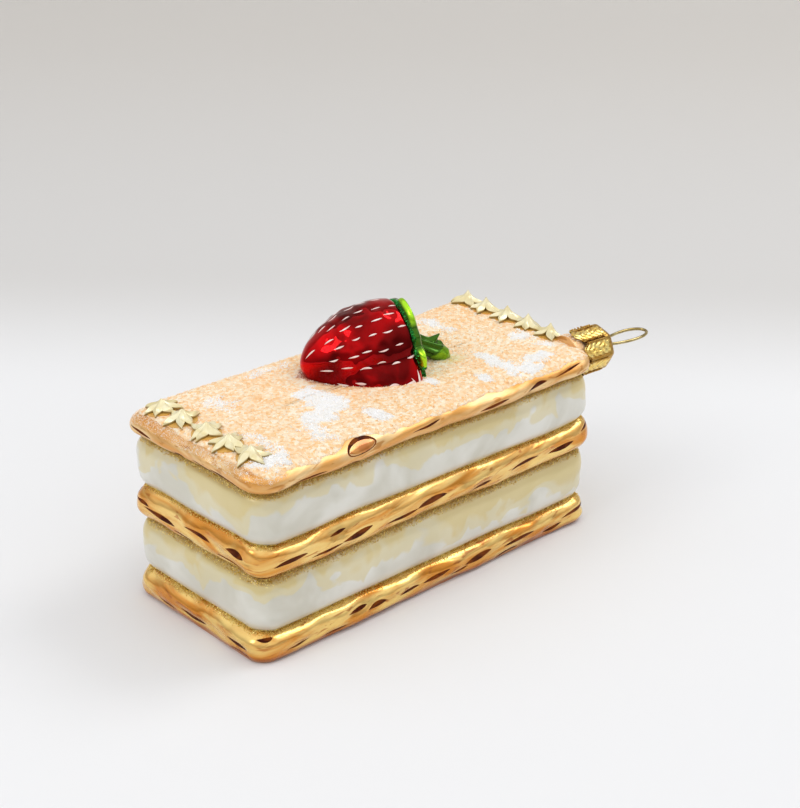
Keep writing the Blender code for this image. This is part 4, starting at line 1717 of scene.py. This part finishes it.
world = bpy.data.worlds.new("room")
bpy.context.scene.world = world
world.use_nodes = True
tree = world.node_tree
sky = add(tree, "ShaderNodeTexCoord")
split = add(tree, "ShaderNodeSeparateXYZ", {"Vector": sky.outputs["Generated"]})
strength = math_node(tree, "MULTIPLY_ADD", eased(tree, split.outputs["Z"], 0.10, 0.70), 0.72, 0.38)
background = tree.nodes["Background"]
background.inputs["Color"].default_value = (0.96, 0.97, 1.0, 1.0)
tree.links.new(strength, background.inputs["Strength"])


def softbox(name, direction, distance, size, power):
    light = bpy.data.lights.new(name, "AREA")
    light.size = size
    light.energy = power
    lamp = bpy.data.objects.new(name, light)
    bpy.context.scene.collection.objects.link(lamp)
    lamp.location = Vector(direction).normalized() * distance
    lamp.rotation_euler = (-lamp.location).to_track_quat("-Z", "Y").to_euler()


softbox("key", (0.62, -0.18, 0.88), 1.1, 0.45, 2.4)
softbox("fill", (-0.80, 0.05, 0.75), 1.2, 0.5, 2.3)


# The camera --------------------------------------------------------------------------------------

CAMERA_PLACE = Vector((-0.2667, -0.2901, 0.2208))
CAMERA_PITCH = 0.42841
CAMERA_ROLL = 0.02043
FOCAL_LENGTH = 80.2

camera_data = bpy.data.cameras.new("camera")
camera_data.lens = FOCAL_LENGTH
camera_data.sensor_width = 36.0
camera_data.clip_start = 0.01
camera = bpy.data.objects.new("camera", camera_data)
bpy.context.scene.collection.objects.link(camera)
forward = Vector(
    (
        math.sin(VIEW_YAW) * math.cos(CAMERA_PITCH),
        math.cos(VIEW_YAW) * math.cos(CAMERA_PITCH),
        -math.sin(CAMERA_PITCH),
    )
)
right = Vector((math.cos(VIEW_YAW), -math.sin(VIEW_YAW), 0.0))
up = right.cross(forward)
rolled_right = right * math.cos(CAMERA_ROLL) + up * math.sin(CAMERA_ROLL)
rolled_up = -right * math.sin(CAMERA_ROLL) + up * math.cos(CAMERA_ROLL)
axes = Matrix((rolled_right, rolled_up, -forward)).transposed()
camera.matrix_world = Matrix.Translation(CAMERA_PLACE) @ axes.to_4x4()
bpy.context.scene.camera = camera
bpy.context.scene.view_settings.view_transform = "Standard"
